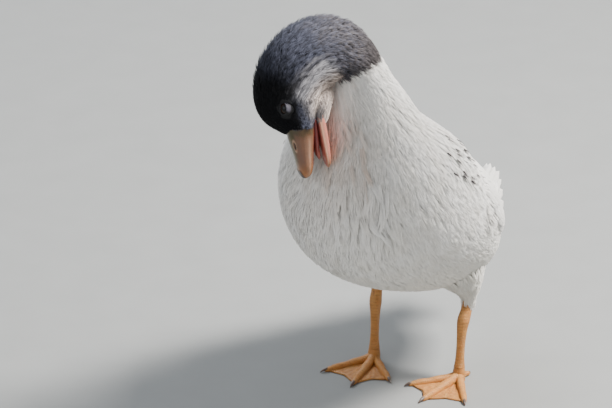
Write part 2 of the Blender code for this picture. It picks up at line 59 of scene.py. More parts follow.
# The middle line from rump to face, the way the back faces, and the reach to back, underside and sides.
TRUNK = np.array([
    [-86.7, -5.3, 74.3, -0.5, 0, 0.85, 5, 4, 6],  # rump end
    [-78.7, -5.3, 75.3, -0.5, 0, 0.85, 18, 14, 25],  # rump
    [-55.7, -5.3, 80.3, -0.5, 0, 0.85, 28, 26, 40],  # loin
    [-20.7, -5.3, 95.3, -0.5, 0, 0.85, 39, 43, 57],  # back and belly
    [8.3, -5.3, 117.3, -0.55, 0, 0.8, 44, 55, 64.5],  # widest body
    [32.3, -5.3, 143.3, -0.75, 0, 0.7, 41, 72, 68],  # shoulders and low breast
    [49.3, -5.3, 170.3, -0.95, 0, 0.35, 35, 71, 63],  # breast and base of the neck
    [56.3, -5.3, 192.3, -1, 0, 0.15, 29, 50, 46],  # low neck
    [60.3, -6.3, 210.3, -1, 0.05, 0.05, 23, 30, 32],  # middle of the neck
    [64.3, -8.8, 227.3, -0.95, 0.3, 0.2, 18, 19, 25],  # high neck
    [69.8, -12.3, 244.8, -0.55, 0.35, 0.75, 18, 16, 23],  # rise of the arch
    [83.8, -21.5, 252.3, 0.1, -0.1, 1, 24, 15.5, 22.5],  # nape
    [98.3, -31.1, 245.3, 0.6, -0.55, 0.65, 25, 16, 22.5],  # back of the head
    [103.8, -34.8, 231.3, 0.65, -0.76, 0.1, 25, 18, 22.5],  # cheeks
    [105.3, -32.8, 220.8, 0.65, -0.76, 0, 24.5, 18.5, 20],  # eyes
    [107.1, -27.8, 212.8, 0.65, -0.76, 0, 18.5, 17, 15],  # face
    [108.7, -23.8, 205.8, 0.65, -0.76, 0, 10.5, 12, 9.5],  # root of the bill
])
CLOAK = np.array([  # the surface that the folded wings lie on
    [-113.7, -5.3, 75.3, -0.4, 0, 0.9, 27, 20, 31],
    [-83.7, -5.3, 77.3, -0.45, 0, 0.9, 24, 20, 33],
    [-54.7, -5.3, 83.3, -0.5, 0, 0.85, 29, 26, 41],
    [-20.7, -5.3, 96.3, -0.5, 0, 0.85, 40, 42, 58],
    [7.3, -5.3, 117.3, -0.55, 0, 0.8, 46.5, 55, 66.5],
    [32.3, -5.3, 143.3, -0.75, 0, 0.7, 44, 71, 68],
    [48.3, -5.3, 169.3, -0.95, 0, 0.35, 35, 70, 58],
])
WING = np.array([  # row of CLOAK, middle of the wing and half its width as angles from the back
    [0.45, 19, 5], [1.3, 25, 13], [2.2, 40, 24], [3.2, 52, 33], [4.2, 52, 35], [5.1, 46, 22],
])
ARM_BEND = 2.6  # how far the wing's rim is bent down on the body
ARM_RIM, ARM_FRONT = (0.3, 0.3), (0.8, 0.2)  # where along the wing that bend starts, and its run
BILL_ROOT, BILL_AHEAD, BILL_UP = (110.7, -24.1, 206.4), (0.095, 0.141, -0.985), (0.65, -0.76, 0.0)
UPPER_BILL = np.array([  # distance from the root, height, depth and half width
    [-5, 9.5, 8.5, 8.4], [2, 9.2, 8.2, 8.4], [9, 7.4, 7.0, 8.2], [16, 5.6, 6.2, 8.4],
    [22, 4.6, 5.6, 8.8], [26.5, 3.6, 4.4, 7.6], [29, 2.4, 3.2, 5.2], [30.3, 1.0, 1.6, 2.4],
])
JAW_ROOT, JAW_AHEAD = (102.6, -15.4, 209.2), (0.068, 0.253, -0.965)
LOWER_BILL = np.array([
    [-13, 3.0, 3.2, 6.4], [-4, 3.4, 3.6, 7.4], [4, 3.2, 3.6, 7.4], [14, 2.8, 3.2, 7.2],
    [21, 2.3, 2.7, 6.8], [25.5, 1.7, 2.0, 5.0], [27.5, 0.7, 0.9, 2.2],
])
TONGUE = np.array([
    [0, 0.6, 0.6, 2.6], [8, 0.8, 0.8, 3.6], [16, 0.7, 0.7, 3.4], [21, 0.4, 0.4, 1.6], [22.6, 0.1, 0.1, 0.3],
])
TONGUE_RISE = 4.6  # how far over the lower half's middle line
NOSTRIL_ROW, NOSTRIL_ANGLE = 1.9, 40  # its middle
NOSTRIL_LONG, NOSTRIL_WIDE = 0.38, 7.0  # half its length in rows, and half its width in degrees
CHIN = np.array([  # distance along the jaw, and the reach of its feathers to back, underside and sides
    [-24, 6, 12, 5], [-15, 5, 11, 6.5], [-8, 4.6, 8.5, 7.2], [-2, 4.0, 5.6, 7.6], [0.5, 3.4, 4.0, 7.5],
])
EYE_RADIUS, EYE_ROW, EYE_ANGLE, EYE_DEPTH = 4.6, 14.15, 66, 3.0
LEAN = -5.3  # how far to one side of its feet the body stands
THIGH = np.array([  # middle line and radius, before the lean
    [-3, 32, 87.3, 24], [-8, 34.5, 72.5, 15.5], [-10.8, 34.6, 63.8, 9.2], [-12, 34, 58.5, 6.6],
    [-12.2, 33.5, 55, 5.2],
])
HEM = (-12.4, 33.2, 48.0, 4.7)  # where the thigh's feathers end over the shank
LIMB_SIDE = (0.12, 0.97, 0.2)  # a way across that no limb runs along
SHANK = np.array([
    [-12.2, 33.4, 54.6, 4.0], [-10.5, 33, 48, 3.3], [-7.5, 32.4, 42, 4.4], [-6.5, 32, 37, 3.5],
    [-5.5, 31.7, 26, 2.7], [-4.6, 31.5, 14, 2.8], [-4.3, 31.4, 9.3, 3.6],
])
ANKLE = np.array([-4.2, 31.4])
FOOT_ROOT = np.array([[-4.2, 31.4, 8.9, 3.5], [-4, 31.4, 5, 4.2], [-3, 31.4, -0.6, 4.4]])
TOES = [(-8, 46, 3.0), (-44, 38, 2.7), (32, 41, 2.7), (165, 11, 2.0)]  # the way it points, length, radius
FAN_ROOT, FAN_TIP = np.array([-70, -5.3, 81.3]), np.array([-122, -5.3, 103.3])
FAN_SIDE, FAN_DROOP, FAN_SHORT = 22, 26, 0.3  # half width, and how much its sides droop and are shorter
CURLS = [(0.64, -1.4, 4.8), (0.5, 1.4, 4.2)]  # share of the tail's fan, millimetres to the left, radius
print("rows along the trunk:", len(TRUNK), "- toes on a foot:", len(TOES))

# %% [markdown]
# ## The camera and the light
# The bird stands about a metre or two from a long lens that looks down on it. A studio has the same view
# with a tripod at the same angles. The light is plain: a large soft lamp above on one side, a weaker one
# opposite, and a pale room. Soft lamps suit white plumage, which a small hard lamp would burn out.

# %% Camera
YAW, PITCH = math.radians(28.4), math.radians(23.0)  # the way the camera stands from the duck
PIXELS_PER_METRE, DISTANCE = 1520.0, 3.0
WIDE, HIGH = 612, 408
ANKLE_PIXEL = (413.5, 372.0)  # where the ground between the ankles is in the picture
SENSOR = 36.0

to_camera = np.array([
    math.cos(YAW) * math.cos(PITCH), math.sin(YAW) * math.cos(PITCH), math.sin(PITCH),
])
to_right = np.array([-math.sin(YAW), math.cos(YAW), 0.0])
to_top = np.cross(to_camera, to_right)
aside = (WIDE / 2 - ANKLE_PIXEL[0]) / PIXELS_PER_METRE
above = (ANKLE_PIXEL[1] - HIGH / 2) / PIXELS_PER_METRE
target = to_right * aside + to_top * above - MIDDLE * MM
camera_data = bpy.data.cameras.new("camera")
camera_data.sensor_width = SENSOR
camera_data.lens = SENSOR * DISTANCE * PIXELS_PER_METRE / WIDE
camera = bpy.data.objects.new("camera", camera_data)
bpy.context.scene.collection.objects.link(camera)


def aim(obj, place, at):
    """Puts a camera or lamp at a place and turns it to look at a point."""
    obj.location = place
    back = obj.location - type(obj.location)(at)
    obj.rotation_mode = "QUATERNION"
    obj.rotation_quaternion = back.to_track_quat("Z", "Y")


aim(camera, target + to_camera * DISTANCE, target)
bpy.context.scene.camera = camera
print("lens:", round(camera_data.lens), "mm at", DISTANCE, "m")

# %% Lamps, room and floor
DUCK_MIDDLE = np.array([0.0, 0.0, 0.14])
LAMPS = {  # metres to the right, up and towards the camera, size, power and colour
    "key_lamp": (1.0, 1.45, 0.0, 0.5, 118.0, (1.0, 0.97, 0.93)),
    "fill_lamp": (-1.0, 0.6, 1.2, 1.4, 8.0, (0.93, 0.96, 1.0)),
    "back_lamp": (-0.5, 1.2, -1.1, 0.9, 22.0, (0.86, 0.92, 1.0)),
}
FLOOR_HALF = 6.0
ROOM_COLOUR, ROOM_POWER = (0.90, 0.93, 0.97), 0.52


def lamp(name, right, up, near, size, power, colour):
    """An area lamp that looks at the duck's middle from so many metres to the right, up and nearer."""
    data = bpy.data.lights.new(name, "AREA")
    data.size = size
    data.energy = power
    data.color = colour
    obj = bpy.data.objects.new(name, data)
    bpy.context.scene.collection.objects.link(obj)
    flat = np.array([to_camera[0], to_camera[1], 0.0]) / math.cos(PITCH)
    place = DUCK_MIDDLE + to_right * right + np.array([0, 0, up]) + flat * near
    aim(obj, place, DUCK_MIDDLE)


for lamp_name, settings in LAMPS.items():
    lamp(lamp_name, *settings)
world = bpy.data.worlds.new("room")
world.use_nodes = True
room = world.node_tree.nodes["Background"].inputs
room["Color"].default_value, room["Strength"].default_value = (*ROOM_COLOUR, 1), ROOM_POWER
bpy.context.scene.world = world
print("lamps:", ", ".join(LAMPS))

# %% [markdown]
# ## Finishes as small formulas
# A material can be wired by hand, node by node. Here one small class wraps a socket, so that a pattern is
# written as a formula: adding, multiplying or mixing sockets adds the nodes. It is shorter, and it can be
# read like the sentence that says how the colour is made.


# %% A socket that can be calculated with
class Socket:
    """A value or colour in a material, which can be added, multiplied and mixed like a number."""

    def __init__(self, tree, link, colour=False):
        self.tree, self.link, self.colour = tree, link, colour

    def node(self, kind, out=0, colour=False, settings=None, **values):
        """Adds a node: its kind, the output to use, its settings, and a value or socket for each input."""
        made = self.tree.nodes.new(kind)
        for key, value in (settings or {}).items():
            setattr(made, key, value)
        for key, value in values.items():
            name = int(key[1:]) if key[0] == "i" and key[1:].isdigit() else key.replace("_", " ")
            if isinstance(value, Socket):
                self.tree.links.new(value.link, made.inputs[name])
            else:
                made.inputs[name].default_value = value
        return Socket(self.tree, made.outputs[out], colour)

    def math(self, operation, other=0.0):
        """One step of arithmetic with another number or socket."""
        return self.node("ShaderNodeMath", settings={"operation": operation}, i0=self, i1=other)

    def __add__(self, other):
        return self.math("ADD", other)

    def __sub__(self, other):
        return self.math("SUBTRACT", other)

    def __mul__(self, other):
        """A number times a number, or a colour times a number that dims all of it."""
        if not self.colour:
            return self.math("MULTIPLY", other)
        settings = {"data_type": "RGBA", "blend_type": "MULTIPLY"}
        return self.node("ShaderNodeMix", 2, True, settings, i0=1.0, i6=self, i7=other)

    def noise(self, scale, detail, **more):
        """A soft random pattern at this place, with so many spots to the metre."""
        return self.node("ShaderNodeTexNoise", Vector=self, Scale=scale, Detail=detail, **more)

    def clip(self, low, high):
        """Runs smoothly from 0 at low to 1 at high."""
        return self.node(
            "ShaderNodeMapRange", settings={"interpolation_type": "SMOOTHSTEP"},
            Value=self, From_Min=low, From_Max=high,
        )


def finish(name, roughness, **constant):
    """A material, and two sockets to start formulas from: the colour that each point carries, and the
    place on the object. Constants sit on the shader."""
    made = bpy.data.materials.new(name)
    made.use_nodes = True
    shader = made.node_tree.nodes["Principled BSDF"]
    for key, value in dict(constant, Roughness=roughness).items():
        shader.inputs[key.replace("_", " ")].default_value = value
    start = Socket(made.node_tree, None)
    tint = start.node("ShaderNodeVertexColor", 0, True, {"layer_name": "tint"})
    return made, tint, start.node("ShaderNodeTexCoord", 3)


def wire(made, colour, roughness=None, height=None, depth=0.0002):
    """Feeds a colour, a roughness and a height in metres to a material's shader."""
    inputs = made.node_tree.nodes["Principled BSDF"].inputs
    sockets = {"Base Color": colour, "Roughness": roughness}
    if height:
        sockets["Normal"] = height.node("ShaderNodeBump", Height=height, Distance=depth, Strength=1.0)
    for name, socket in sockets.items():
        if socket:
            made.node_tree.links.new(socket.link, inputs[name])
    return made


print("helpers: Socket, finish, wire")

# %% [markdown]
# ## Curves and surfaces
# The trunk, the wings' cloak, the bill and the legs are all tubes: rings of points along a middle line.
# A smooth curve is led through each table, and an angle goes round it. The same function gives a point on
# the skin, or above it, and that is what lets feathers lie along the body however it bends.


# %% Smooth curves
def spline(values, at):
    """A cubic B-spline: each point is the mean of four rows, weighed by cubics of the share between two
    rows. The end rows are met exactly."""
    values = np.asarray(values, float)
    padded = np.concatenate([2 * values[:1] - values[1:2], values, 2 * values[-1:] - values[-2:-1]])
    at = np.clip(np.asarray(at, float), 0, len(values) - 1)
    row = np.minimum(at.astype(int), len(values) - 2)
    t = (at - row)[..., None]
    a, b, c, d = (padded[row + k] for k in range(4))
    inner = b * (3 * t**3 - 6 * t**2 + 4) + c * (3 * t + 3 * t**2 - 3 * t**3 + 1)
    return (a * (1 - t) ** 3 + inner + d * t**3) / 6


def unit(v):
    """The same directions, each with length 1."""
    v = np.asarray(v, float)
    return v / np.maximum(np.linalg.norm(v, axis=-1, keepdims=True), 1e-9)


def course(table, row, step=0.02):
    """The way that a table's middle line runs at a row."""
    return unit(spline(table[:, :3], row + step) - spline(table[:, :3], row - step))


def smooth_step(low, high, x):
    """0 below low, 1 above high, and t*t*(3-2t) between."""
    t = np.clip((x - low) / (high - low), 0, 1)
    return t * t * (3 - 2 * t)


def soft_noise(points, size, seed):
    """A smooth random field, about -1 to 1: the mean of sine waves that run in random directions with
    wavelengths about size."""
    rng = np.random.default_rng(seed)
    count = 14
    waves = unit(rng.normal(size=(count, 3))) * 2 * math.pi / (size * rng.uniform(0.6, 1.7, (count, 1)))
    phase = rng.uniform(0, 2 * math.pi, count)
    return np.sin(np.asarray(points) @ waves.T + phase).sum(-1) * 1.6 / count


print("half way along the trunk:", np.round(spline(TRUNK, 8.0)[:3]))


# %% Tubes led by a table
class Tube:
    """A tube led by rows of middle, dorsal direction and reach to back, underside and side. Its frames are
    worked out once at many fine rows, and a point is read between them."""

    def __init__(self, table, step=0.01):
        self.step, self.last = step, len(table) - 1
        row = np.arange(0, self.last + step / 2, step)
        here, along = spline(table, row), course(table, row)
        dorsal = here[:, 3:6]
        dorsal = unit(dorsal - (dorsal * along).sum(-1, keepdims=True) * along)
        left = np.cross(dorsal, along)
        self.frames = np.concatenate([here[:, :3], dorsal, left, here[:, 6:9]], axis=1)

    def __call__(self, row, angle, more=0.0):
        """Middle + dorsal * reach * cos(angle) + left * side * sin(angle). More is added to the reaches."""
        row, angle, more = np.broadcast_arrays(row, angle, more)
        at = np.clip(row, 0, self.last) / self.step
        low = np.minimum(at.astype(int), len(self.frames) - 2)
        share = (at - low)[..., None]
        f = self.frames[low] * (1 - share) + self.frames[low + 1] * share
        cos, sin = np.cos(angle), np.sin(angle)
        up = (np.where(cos > 0, f[..., 9], f[..., 10]) + more) * cos
        across = (f[..., 11] + more) * sin
        return f[..., :3] + f[..., 3:6] * up[..., None] + f[..., 6:9] * across[..., None]


chin_middle = np.asarray(JAW_ROOT) + unit(JAW_AHEAD) * CHIN[:, :1]
chin_back = np.broadcast_to(BILL_UP, chin_middle.shape)
trunk, cloak = Tube(TRUNK), Tube(CLOAK)
chin = Tube(np.concatenate([chin_middle, chin_back, CHIN[:, 1:]], axis=1))


def wing_point(side, x, y, height=0.0, across=0.0):
    """A point over the folded wing: x runs from its tips to the shoulder, y from its lower edge at -1 to
    its upper edge at 1, and across adds millimetres to y. The rim is bent down on the body."""
    x, y, height, across = np.broadcast_arrays(x, y, height, across)
    row, middle, half = np.moveaxis(spline(WING, x * (len(WING) - 1)), -1, 0)
    radius = spline(CLOAK[:, 6:7], row)[..., 0]
    turn = half * y + np.degrees(across / radius)
    at_rim, at_front = (np.clip((x - start) / run, 0, 1) for start, run in (ARM_RIM, ARM_FRONT))
    rim = np.clip(np.abs(turn / half), 0, 1) ** 4 * at_rim
    front = at_front**2
    return cloak(row, side * np.radians(middle - turn), height - ARM_BEND * np.maximum(rim, front))


def fan_point(x, across, height=0.0):
    """A point by the tail's fan: x runs from root to tip, across is millimetres to the left, and the fan
    droops to either side like a roof."""
    x, across, height = (v[..., None] for v in np.broadcast_arrays(x, across, height))
    line = FAN_TIP - FAN_ROOT
    left = np.array([0, 1.0, 0])
    droop = FAN_DROOP / FAN_SIDE**2 * np.clip(x, 0, 1)
    up = unit(np.cross(left, line) + np.linalg.norm(line) * 2 * droop * across * left)
    return FAN_ROOT + line * x + left * across - np.array([0, 0, 1]) * droop * across**2 + up * height


def bill_point(root, ahead, rows, row, angle, more=0.0):
    """A point of a bill or tongue: arched above, nearly flat below and widest at its edges."""
    ahead = unit(ahead)
    up = unit(np.asarray(BILL_UP) - np.dot(BILL_UP, ahead) * ahead)
    left = np.cross(up, ahead)
    here = spline(rows, row)
    c, s = np.cos(angle), np.sin(angle)
    height = np.where(c > 0, (here[..., 1] + more) * c, -(here[..., 2] + more) * np.abs(c) ** 0.5)
    across = (here[..., 3] + more) * np.sign(s) * np.abs(s) ** 0.8
    return np.asarray(root) + ahead * here[..., :1] + up * height[..., None] + left * across[..., None]


def limb_point(rows, side, row, angle, more=0.0):
    """A point on a limb: a circle square to its middle line. The right limb mirrors the left one."""
    table = np.array(rows, float)
    table[:, 1] *= side
    row, angle, more = np.broadcast_arrays(row, angle, more)
    here, along = spline(table, row), course(table, row)
    across = unit(np.cross(along, LIMB_SIDE))
    other = np.cross(along, across)
    circle = across * np.cos(angle)[..., None] + other * np.sin(angle)[..., None]
    return here[..., :3] + (here[..., 3:4] + more[..., None]) * circle


def thigh_point(side, row, angle, more=0.0, hem=None):
    """The feathered thigh, which leans from the top of the shank to the hip. A hem adds a lower row."""
    rows = THIGH.copy()
    rows[:, 1] += side * LEAN * (rows[:, 2] - rows[-1, 2]) / (rows[0, 2] - rows[-1, 2])
    if hem:
        rows = np.concatenate([rows, [hem]])
    return limb_point(rows, side, row, angle, more)


print("crown to ground:", round(float(trunk(11.3, 0.0)[2])), "mm")

# %% [markdown]
# ## Meshes from arrays
# Thousands of feathers are too many to click together. Their points are worked out as whole arrays and
# written to one mesh in a single step, with the colour of each point beside them. A second map gives each
# tuft a small patch at the place of its root, for a later bake of its colours.


# %% Write a mesh
def make_mesh(name, points, faces, material, tint=None, maps=None, normals=None, metres=False):
    """An object from points in millimetres and rows of corner numbers. Each map is one UV pair a point, and
    normals, if given, are the directions that the points are shaded by."""
    points = np.asarray(points, float).reshape(-1, 3)
    if not metres:
        points = (points - MIDDLE) * MM
    blocks = [np.asarray(block) for block in (faces if isinstance(faces, list) else [faces])]
    corners = np.concatenate([block.ravel() for block in blocks])
    starts = np.cumsum(np.concatenate([[0]] + [np.full(len(block), block.shape[1]) for block in blocks]))
    mesh = bpy.data.meshes.new(name)
    mesh.vertices.add(len(points))
    mesh.vertices.foreach_set("co", points.astype(np.float32).ravel())
    mesh.loops.add(len(corners))
    mesh.loops.foreach_set("vertex_index", corners.astype(np.int32))
    mesh.polygons.add(len(starts) - 1)
    mesh.polygons.foreach_set("loop_start", starts[:-1].astype(np.int32))
    mesh.update(calc_edges=True)
    mesh.polygons.foreach_set("use_smooth", np.ones(len(starts) - 1, bool))
    if tint is not None:
        colour = np.ones((len(points), 4), np.float32)
        colour[:, :3] = np.clip(np.asarray(tint).reshape(-1, 3), 0, 1)
        mesh.color_attributes.new("tint", "FLOAT_COLOR", "POINT").data.foreach_set("color", colour.ravel())
    for map_name, uv in (maps or {}).items():
        layer = mesh.uv_layers.new(name=map_name)
        layer.uv.foreach_set("vector", np.asarray(uv, np.float32).reshape(-1, 2)[corners].ravel())
    mesh.materials.append(material)
    if normals is not None:
        mesh.normals_split_custom_set_from_vertices(np.asarray(normals, np.float32).reshape(-1, 3))
    obj = bpy.data.objects.new(name, mesh)
    bpy.context.scene.collection.objects.link(obj)
    return obj


def tube_faces(count, sides):
    """Quads between rings of points, and a fan at each end to a middle point. Those come last."""
    i, j = np.meshgrid(np.arange(count - 1), np.arange(sides), indexing="ij")
    k = (j + 1) % sides
    quads = np.stack([i * sides + j, (i + 1) * sides + j, (i + 1) * sides + k, i * sides + k], -1)
    j = np.arange(sides)
    k = (j + 1) % sides
    first = np.stack([j, k, np.full(sides, count * sides)], -1)
    base = (count - 1) * sides
    last = np.stack([base + k, base + j, np.full(sides, count * sides + 1)], -1)
    return [quads.reshape(-1, 4), np.concatenate([first, last])]


def closed_tube(rings):
    """Points of rings with the middle of the first and of the last ring added at the end."""
    ends = np.stack([rings[0].mean(axis=0), rings[-1].mean(axis=0)])
    return np.concatenate([rings.reshape(-1, 3), ends])


def capped(colour):
    """Colours of rings, with one more for each of the two middle points at the end."""
    return np.concatenate([colour.reshape(-1, 3), colour[:1, 0], colour[-1:, 0]])


def outward(obj):
    """Turns the faces of a closed mesh outwards."""
    bm = bmesh.new()
    bm.from_mesh(obj.data)
    bmesh.ops.recalc_face_normals(bm, faces=bm.faces)
    if bm.calc_volume(signed=True) < 0:
        bmesh.ops.reverse_faces(bm, faces=bm.faces)
    bm.to_mesh(obj.data)
    bm.free()
    return obj


def tube_mesh(name, rings, colour, material):
    """One closed tube from its rings."""
    faces = tube_faces(*rings.shape[:2])
    return outward(make_mesh(name, closed_tube(rings), faces, material, capped(colour)))


def ring_grid(start, end, count, sides):
    """Rows from start to end, and angles all the way round."""
    row = np.linspace(start, end, count)[:, None]
    angle = np.linspace(0, 2 * math.pi, sides, endpoint=False)[None, :]
    return np.broadcast_arrays(row, angle)


def dress(obj, slot, *nodes):
    """Makes a piece ride with the duck and hides the solids it stands for. The slot is not used."""
    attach(obj, "root")
    if nodes:
        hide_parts(*nodes)
    triangles = sum(len(p.vertices) - 2 for p in obj.data.polygons)
    print(f"{obj.name}: {triangles} triangles")
    return obj


print("mesh helpers ready")

# %% [markdown]
# ## Markings
# The body is white with a warm tint and a little painted shade below. The head is slate grey, black round
# the eye and at the brow, with frosted tips on the crown, a brown-grey nape that ends at a sharp edge, and
# a silvery cream cheek. Painted as a picture they would belong to one view. As a formula of the place on
# the body they go right round it, and skin and feathers share them.

# %% Colours of the plumage
# The third colour is painted shade, mixed into the white towards the bottom of the body.
WHITE, WARM, LOW_SHADE = (0.86, 0.85, 0.83), (0.84, 0.79, 0.71), (0.60, 0.57, 0.48)
ROSY = (0.66, 0.52, 0.43)
BLACK, SLATE, FROST = (0.003, 0.003, 0.004), (0.020, 0.021, 0.030), (0.14, 0.152, 0.215)
NAPE, NAPE_DARK = (0.066, 0.058, 0.058), (0.016, 0.014, 0.015)
SMOKE, SILVER, CREAM = (0.080, 0.078, 0.085), (0.24, 0.235, 0.25), (0.42, 0.35, 0.31)


def blend(a, b, share):
    """The colour that is a at share 0 and b at share 1."""
    share = np.asarray(share, float)[..., None]
    return np.asarray(a) * (1 - share) + np.asarray(b) * share


def bump_at(x, middle, width):
    """1 at the middle and exp(-1) at a width from it."""
    return np.exp(-(((x - middle) / width) ** 2))


def from_back(angle):
    """Degrees from the middle of the back, or from the ridge of a bill, the same on both sides."""
    return np.degrees(np.abs((angle + math.pi) % (2 * math.pi) - math.pi))


def body_colour(row, turn, points, fine, coarse, streak):
    """White with a warm tint, painted shade that makes it darker and warmer below, and rosy where the
    throat's loose feathers hang.
    """
    # Painted shade: the white turns darker and warmer towards the bottom of the body.
    low = smooth_step(150, 62, points[..., 2]) * 0.75 + 0.12 * coarse
    body = blend(blend(WHITE, WARM, 0.3 + 0.3 * coarse), LOW_SHADE, np.clip(low, 0, 1) * 0.75)
    rosy = bump_at(row, 7.7, 1.1) * smooth_step(128, 168, turn) * (0.55 + 0.5 * streak + 0.2 * fine)
    return blend(body, ROSY, np.clip(rosy, 0, 1) * 0.85)


def hood_colour(row, turn, fine, coarse, streak):
    """Slate crown, mottled brown-grey nape, black brow and eye area, and a smoky cheek that turns to silver
    and cream. Returned with the shares of black and of cheek."""
    hood = blend(NAPE, SLATE, smooth_step(10.9, 11.7, row + 0.25 * coarse))
    hood = blend(hood, NAPE_DARK, smooth_step(0.0, 0.9, fine + streak) * smooth_step(11.9, 10.9, row) * 0.8)
    hood = hood * (1 + 0.4 * streak + 0.2 * fine)[..., None]
    brow = smooth_step(12.3, 13.2, row + 0.12 * streak + 0.12 * coarse)
    black = brow * smooth_step(92, 76, turn + 5 * streak)
    hood = blend(hood, BLACK, black)
    start = np.interp(turn, [80, 125], [11.3, 10.85])
    rows = smooth_step(0.0, 0.7, row - start + 0.15 * streak) * smooth_step(16.0, 15.3, row)
    edge = np.interp(row, [10.8, 11.6, 12.5, 13.3, 14.2, 15.2], [94, 76, 72, 80, 88, 102])
    off = turn - edge + 7 * streak + 3 * fine
    cheek = smooth_step(-12, 10, off) * rows
    pale = blend(SMOKE, SILVER, smooth_step(-4, 20, off))
    pale = blend(pale, CREAM, smooth_step(96, 132, turn + 8 * coarse))
    pale = pale * (1 + 0.28 * streak - 0.45 * smooth_step(14.5, 15.5, row))[..., None]
    return blend(hood, pale, cheek), black, cheek


def plumage_colour(row, angle, points):
    """The colour of a feather's root and of its tip, from its row, its angle from the back and noise. The
    noise called streak is long along the lie and narrow across it."""
    turn = from_back(angle)
    fine, coarse = soft_noise(points, 3.2, 11), soft_noise(points, 11.0, 12)
    streak = soft_noise(np.stack([row * 2.4, 22 * np.cos(angle), 22 * np.sin(angle)], -1), 2.6, 13)
    body = body_colour(row, turn, points, fine, coarse, streak)
    border = np.interp(turn, [0, 56, 95, 122, 180], [9.72, 9.8, 10.1, 10.35, 10.8]) + 0.06 * fine
    grey = smooth_step(-0.05, 0.05, row - border)
    hood, black, cheek = hood_colour(row, turn, fine, coarse, streak)
    frosty = (1 - black) * (1 - cheek) * (0.6 + 0.4 * fine) * smooth_step(10.0, 11.0, row)
    fringe = blend(hood, FROST, np.clip(frosty, 0, 1) * 0.8)
    fringe = fringe * (1 + 0.35 * cheek)[..., None]
    return blend(body, hood, grey), blend(body, fringe, grey), grey


print("colours set for body, nape, crown, brow and cheek")

# %% Finish of the plumage
FINE_DETAIL = 900.0  # patterns to the metre in the fine grain of the barbs


def plumage_finish(name, roughness, sheen, specular):
    """The colour of each point, broken up by a fine grain, and a sheen from the many soft edges."""
    made, tint, place = finish(
        name, roughness, Sheen_Weight=sheen, Sheen_Roughness=0.5, Specular_IOR_Level=specular,
    )
    grain = place.noise(FINE_DETAIL, 2.0)
    return wire(made, tint * (grain * 0.22 + 0.89), height=grain, depth=0.00012)


white_plumage = plumage_finish("white_plumage", 0.8, 0.2, 0.4)
grey_plumage = plumage_finish("grey_plumage", 0.75, 0.02, 0.15)
print("materials:", white_plumage.name, grey_plumage.name)

# %% [markdown]
# ## The skin
# Under its coat a bird is slim. One closed skin runs from rump to face, with the two thighs, inside the
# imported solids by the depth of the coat, and it stands for all the solids of flesh, so no seam shows. It
# carries the same markings, for where the coat parts.

# %% Depth of the coat and the skin under it
ROWS = [0, 2, 4, 5, 6, 7, 8.4, 9.5, 10.4, 11.5, 13, 14.5, 15.5, 16]
COAT_DEPTH = [2.4, 2.7, 2.8, 2.8, 2.8, 2.6, 2.2, 1.9, 1.7, 1.6, 1.3, 1.0, 0.7, 0.5]
LENGTH = [12, 14, 15.5, 15.5, 14.5, 12.5, 10, 8.2, 7, 6.4, 5.4, 4.0, 3.4, 3.3]
TUFT_WIDTH = [4.5, 5.2, 5.6, 5.6, 5.2, 4.4, 3.2, 2.6, 2.2, 2.0, 1.7, 1.2, 0.9, 0.8]
SPACING = [3.0, 3.2, 3.3, 3.2, 3.0, 2.7, 2.1, 1.75, 1.5, 1.42, 1.3, 1.0, 0.8, 0.72]
THIGH_DEPTH, THIGH_THINS = 2.4, 0.35  # depth of the coat on the thigh, and how much less it is a row below
CHIN_DEPTH = 1.6
THIGH_ROW, CHIN_ROW = 1.0, 12.6  # the rows of the trunk that have the colours of thigh and chin
LAST_ROW = len(TRUNK) - 1
SKIN_GRID, LIMB_GRID = (150, 110), (24, 40)
SHOULDER = (6.2, 0.95, 60, 34, 5.0)  # middle row and spread, middle angle and spread, millimetres
NECK_DIP = (7.35, 0.5, 55, 34, 2.8)
MANTLE = (4.7, 1.0, 2.5)  # middle row and spread, millimetres


def swelling(row, degrees, middle, spread, turn, turn_spread, height):
    """A soft bump round a row and an angle from the back."""
    return bump_at(row, middle, spread) * bump_at(degrees, turn, turn_spread) * height


def shoulder_form(row, degrees):
    """How far the plumage lies over the solids at the shoulders and the mantle, and under at the neck."""
    middle, spread, height = MANTLE
    mantle = bump_at(row, middle, spread) * smooth_step(75, 30, degrees) * height
    return swelling(row, degrees, *SHOULDER) + mantle - swelling(row, degrees, *NECK_DIP)


def shaped(row, angle, more=0.0):
    """The trunk with the form of its shoulders, which the tufts follow along their length."""
    return trunk(row, angle, more + shoulder_form(row, from_back(angle)))


def fluff(row, degrees):
    """How far the loose feathers of cheek and throat stand off. They do so at their roots and then hang."""
    throat = bump_at(row, 9.1, 1.0) * smooth_step(125, 170, degrees) * 4.5
    cheek = smooth_step(10.9, 11.8, row) * smooth_step(15.6, 14.2, row) * smooth_step(95, 140, degrees)
    return throat + cheek * 2.8


def skin_map(row, angle, first, last):
    """The unwrap of the skin: the angle goes across the picture and the rows go up it."""
    across = (angle / (2 * math.pi)) % 1
    return np.stack([0.02 + 0.95 * across, 0.02 + 0.95 * (row - first) / (last - first)], -1)


